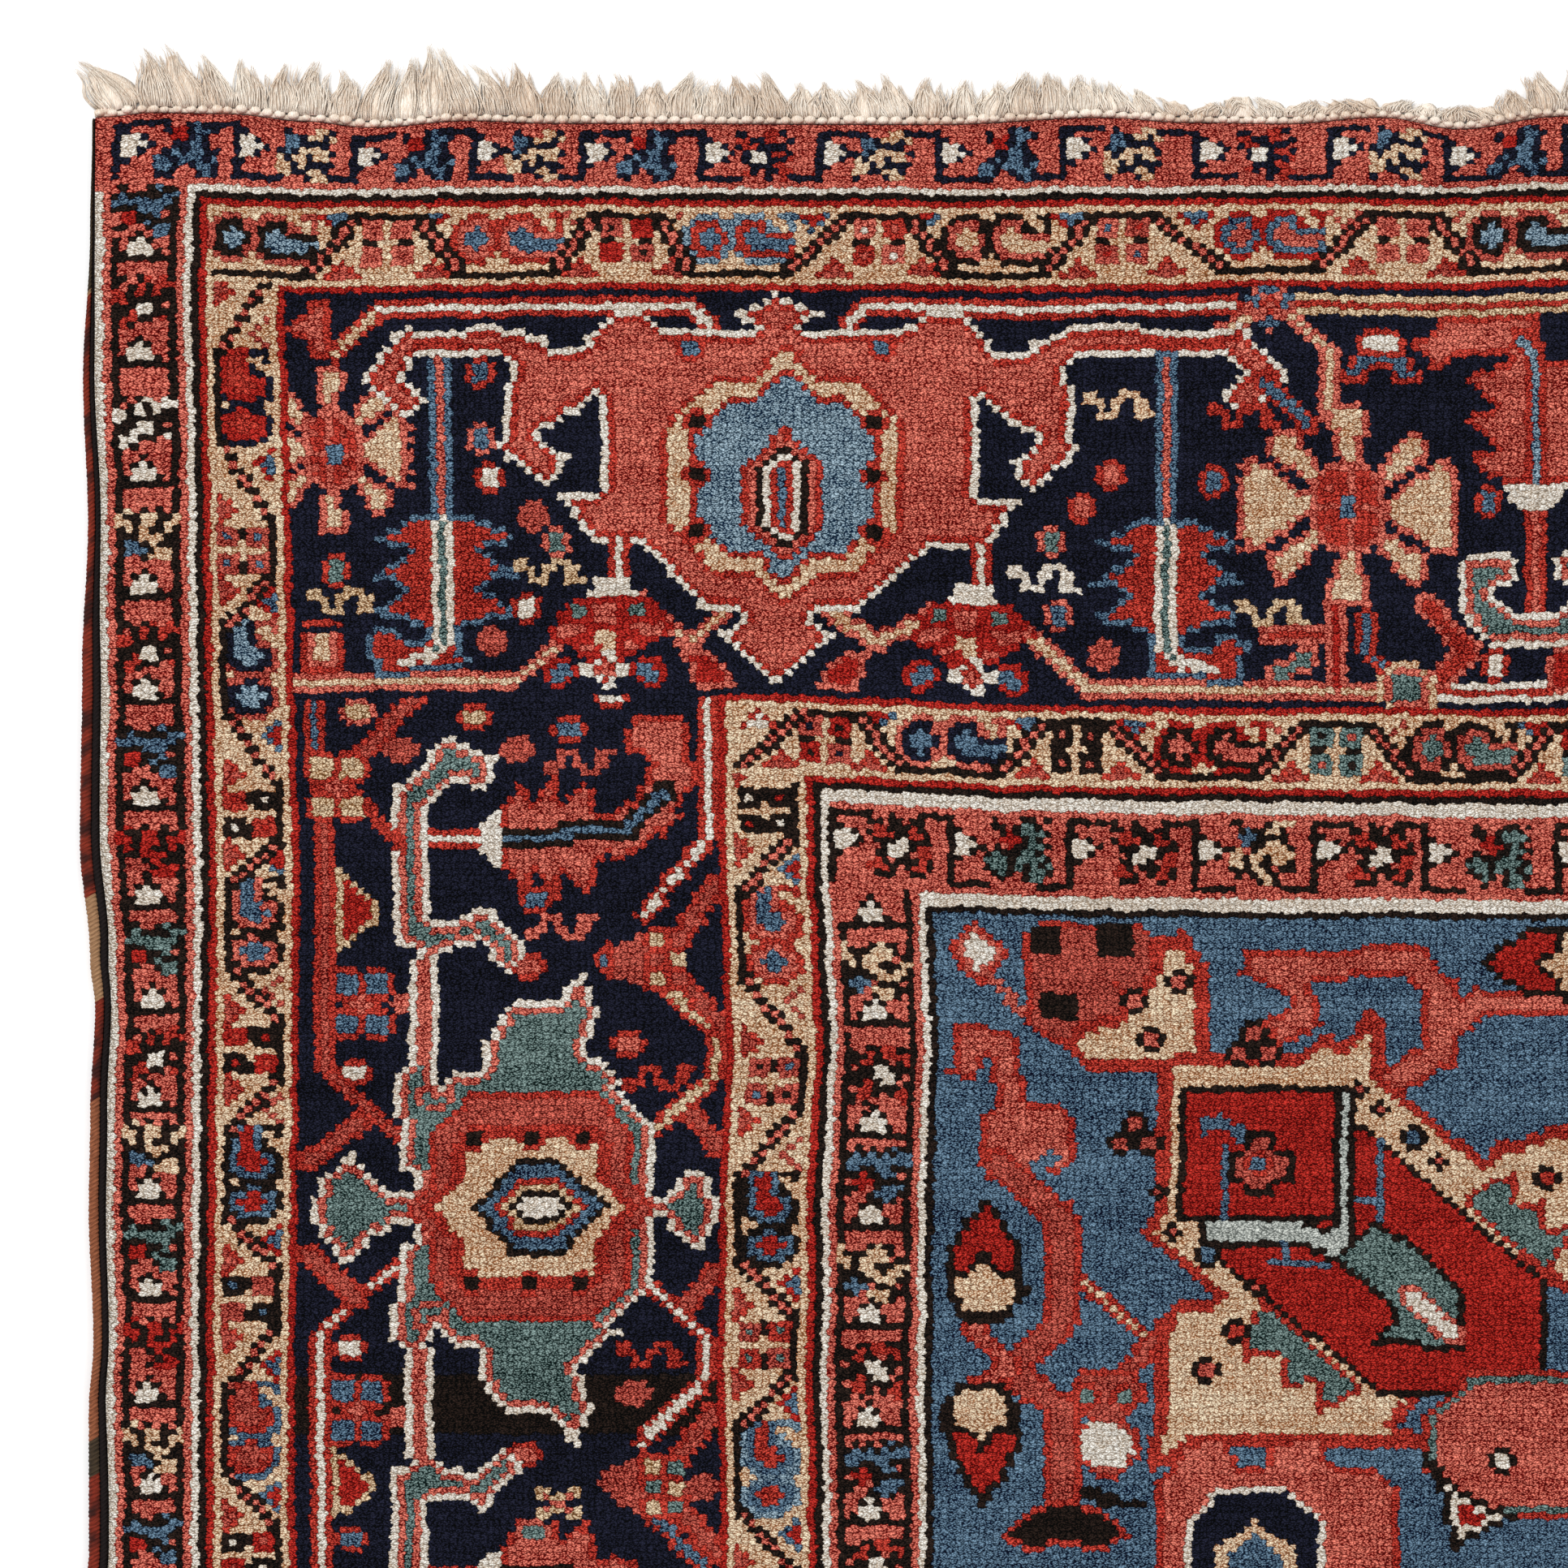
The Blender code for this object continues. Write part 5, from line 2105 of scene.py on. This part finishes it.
# The outer cord's wools: distance from the top end in mm, and the wool from there on
LEFT_DYES = (
    (0, "olive"), (88, "camel"), (91, "rust"), (402, "camel"), (456, "rust"), (508, "tawny"),
    (684, "olive"), (702, "rust"),
)
RIGHT_DYES = ((0, "rust"),)


class SideCords:
    """Two cords of warps side by side, overcast with wool. outward is -1 on the left."""

    def __init__(self, x_at, outward, dyes, seed):
        self.x_at = x_at
        self.outward = outward
        self.dyes = dyes
        self.draw = random.Random(seed)
        side = outward * PILE_WIDTH / 2
        self.start = float(top_y(side)) - CORD_END_GAP
        self.end = float(bottom_y(side)) + CORD_END_GAP
        self.wraps = round((self.start - self.end) / WRAP_PITCH)
        self.points = []
        self.faces = []
        self.dye_numbers = []  # for each face
        self.weave = []  # for each corner of each face: wraps along it, and share round it
        self.bake = []

    def add_ring(self, x, y, half, tall, size):
        """The points round a cord. They lean, as the wool is wrapped on a slant."""
        for j in range(CORD_SIDES):
            angle = math.tau * j / CORD_SIDES + CORD_TURN
            slanted_y = y + WRAP_SLANT * math.cos(angle) * self.outward
            self.points.append((
                x + self.outward * half * size * math.cos(angle),
                min(self.start, max(self.end, slanted_y)),
                max(0.0, tall + tall * size * math.sin(angle)),
            ))

    def add_face(self, ring, corners, number, strip):
        """A face with its corners, each a share along the cord and a number of sides round it."""
        turn = slice(None, None, self.outward)
        self.faces.append(ring[turn])
        for along, round_ in corners[turn]:
            self.weave.append((along * self.wraps, round_ / CORD_SIDES + 3 * number))
            column = CORD_COLUMN[0] + CORD_COLUMN[1] * round_ / CORD_SIDES
            up = CORD_COLUMN_UP[0] + CORD_COLUMN_UP[1] * (along * CORD_STRIPS - strip)
            self.bake.append(((strip * 2 + number + column) / (CORD_STRIPS * 2), up))

    def add_cap(self, ring, order, wool):
        self.faces.append(tuple(range(ring, ring + CORD_SIDES))[:: order * self.outward])
        self.dye_numbers.append(DYES[wool])
        self.weave += [(0.0, 0.0)] * CORD_SIDES
        self.bake += [CAP_PLACE] * CORD_SIDES

    def add_cord(self, number):
        out, half, tall, ring_sizes = CORDS[number]
        first = len(self.points)
        stretches = self.wraps * len(ring_sizes)
        ys = np.linspace(self.start, self.end, stretches + 1)
        shares = np.ones(len(ys))
        if self.outward < 0:
            shares = cord_share(PILE_LENGTH / 2 - ys)
        xs = self.x_at(ys) + self.outward * (SELVEDGE_WIDTH * (1 - shares) + out * shares)
        for i, (x, y, share) in enumerate(zip(xs.tolist(), ys.tolist(), shares.tolist())):
            in_wrap = i % len(ring_sizes)
            if in_wrap == 0:
                uneven = self.draw.uniform(*WRAP_UNEVENNESS)
            self.add_ring(x, y, half * share, tall, uneven * ring_sizes[in_wrap])

        wool = "ink"
        for i in range(stretches):
            if number == 0:
                wool = [dyed for begins, dyed in self.dyes if (self.start - ys[i]) / MM >= begins][-1]
            a, b = first + i * CORD_SIDES, first + (i + 1) * CORD_SIDES
            near, far = i / stretches, (i + 1) / stretches
            strip = min(CORD_STRIPS - 1, int(near * CORD_STRIPS))
            for j in range(CORD_SIDES):
                k = (j + 1) % CORD_SIDES
                corners = ((near, j), (near, j + 1), (far, j + 1), (far, j))
                self.add_face((a + j, a + k, b + k, b + j), corners, number, strip)
            self.dye_numbers += [DYES[wool]] * CORD_SIDES
        self.add_cap(first, -1, wool)
        self.add_cap(first + stretches * CORD_SIDES, 1, wool)


def cord_piece(name, x_at, outward, dyes, seed, material):
    side = SideCords(x_at, outward, dyes, seed)
    for number in range(len(CORDS)):
        side.add_cord(number)
    piece = make_piece(name, side.points, side.faces, material, "selvedge_wool", name)
    face_numbers(piece.data, "dye", side.dye_numbers)
    corner_points(piece.data, "weave", side.weave)
    corner_points(piece.data, "OFBake", side.bake)
    piece.data.uv_layers.active = piece.data.uv_layers["weave"]
    piece.data.shade_smooth()


def cord_material():
    g = Graph("overcast_wool", 0.9)
    g.shader.inputs["Specular IOR Level"].default_value = 0.15
    weave = g.node("ShaderNodeUVMap", uv_map="weave").outputs["UV"]
    along, round_ = g.split(weave)[:2]
    dye = g.number("dye")
    colours = []
    for shades in zip(*CORD_WOOLS.values()):
        stops = [(i / len(CORD_WOOLS), linear(shade)) for i, shade in enumerate(shades)]
        colours.append(g.ramp(dye, stops, "CONSTANT"))
    light, dark = colours
    wrap = g.math("MULTIPLY_ADD", g.math("COSINE", g.math("MULTIPLY", along, math.tau)), -0.5, 0.5)
    fibre_place = g.join(g.math("MULTIPLY", along, 3.2), g.math("MULTIPLY", round_, 5.0))
    fibres = g.noise(fibre_place, 1.0, 3.0).outputs["Fac"]
    lot = g.noise(g.join(g.math("MULTIPLY", along, 0.16), round_), 1.0, 4.0).outputs["Fac"]
    # Painted shade: each cord is darker in the grooves between two wraps
    on_wrap = g.math("MULTIPLY_ADD", wrap, 0.3, 0.5)
    lightness = g.math("MULTIPLY", on_wrap, g.ease(fibres, 0.25, 0.7, 0.3, 1.2))

    # Only rust, the first of the wools, is worn dark in places
    worn = g.mix(g.ease(lot, 0.42, 0.62), light, linear(WORN_RUST))
    light = g.mix(g.math("GREATER_THAN", dye, 1 / len(CORD_WOOLS)), worn, light)
    colour = g.mix(lightness, dark, light)
    return g.finish(colour, g.math("ADD", wrap, fibres), CORD_RELIEF)


overcast = cord_material()
cord_piece("selvedge_left", left_x, -1, LEFT_DYES, 5, overcast)
cord_piece("selvedge_right", right_x, 1, RIGHT_DYES, 6, overcast)


# --- Floor, light and camera ----------------------------------------------------------------

CAMERA_AT = (-0.6431, 1.1031)  # above this point of the rug
CAMERA_HEIGHT = 3.5
VIEW_WIDTH = 0.8114  # of the floor, as the camera sees it
SENSOR = 36.0
FLOOR_REACH = 30.0
FLOOR_DEPTH = 0.0005
FLOOR_COLOUR = (0.92, 0.92, 0.92, 1.0)
SKY_COLOUR = (1.0, 1.0, 1.0, 1.0)
SKY_STRENGTH = 0.7
LIGHTS = (  # name, place, size and power
    ("window", (-2.6, 3.6, 4.2), 2.4, 190.0),
    ("fill", (3.5, -2.5, 5.0), 3.0, 90.0),
)


def make_floor():
    mesh = bpy.data.meshes.new("floor")
    far = FLOOR_REACH
    corners = [(-far, -far, 0), (far, -far, 0), (far, far, 0), (-far, far, 0)]
    mesh.from_pydata(corners, [], [(0, 1, 2, 3)])
    pale = Graph("pale_floor", 0.9)
    pale.set(pale.shader.inputs["Base Color"], FLOOR_COLOUR)
    mesh.materials.append(pale.material)
    floor = bpy.data.objects.new("floor", mesh)
    floor.location.z = -FLOOR_DEPTH
    bpy.context.scene.collection.objects.link(floor)


def make_light(name, place, size, power):
    """A square lamp that faces the middle of the rug."""
    lamp = bpy.data.lights.new(name, "AREA")
    lamp.shape = "SQUARE"
    lamp.size = size
    lamp.energy = power
    holder = bpy.data.objects.new(name, lamp)
    holder.location = place
    holder.rotation_mode = "QUATERNION"
    holder.rotation_quaternion = (-holder.location).to_track_quat("-Z", "Y")
    bpy.context.scene.collection.objects.link(holder)


def make_camera():
    lens = bpy.data.cameras.new("camera")
    lens.type = "PERSP"
    lens.sensor_width = SENSOR
    lens.lens = SENSOR * (CAMERA_HEIGHT - PILE_HEIGHT) / VIEW_WIDTH
    camera = bpy.data.objects.new("camera", lens)
    camera.location = (*CAMERA_AT, CAMERA_HEIGHT)
    bpy.context.scene.collection.objects.link(camera)
    bpy.context.scene.camera = camera


def make_sky():
    world = bpy.data.worlds.new("sky")
    world.use_nodes = True
    background = world.node_tree.nodes["Background"]
    background.inputs["Color"].default_value = SKY_COLOUR
    background.inputs["Strength"].default_value = SKY_STRENGTH
    bpy.context.scene.world = world
    bpy.context.scene.view_settings.view_transform = "Standard"


make_floor()
for light in LIGHTS:
    make_light(*light)
make_camera()
make_sky()
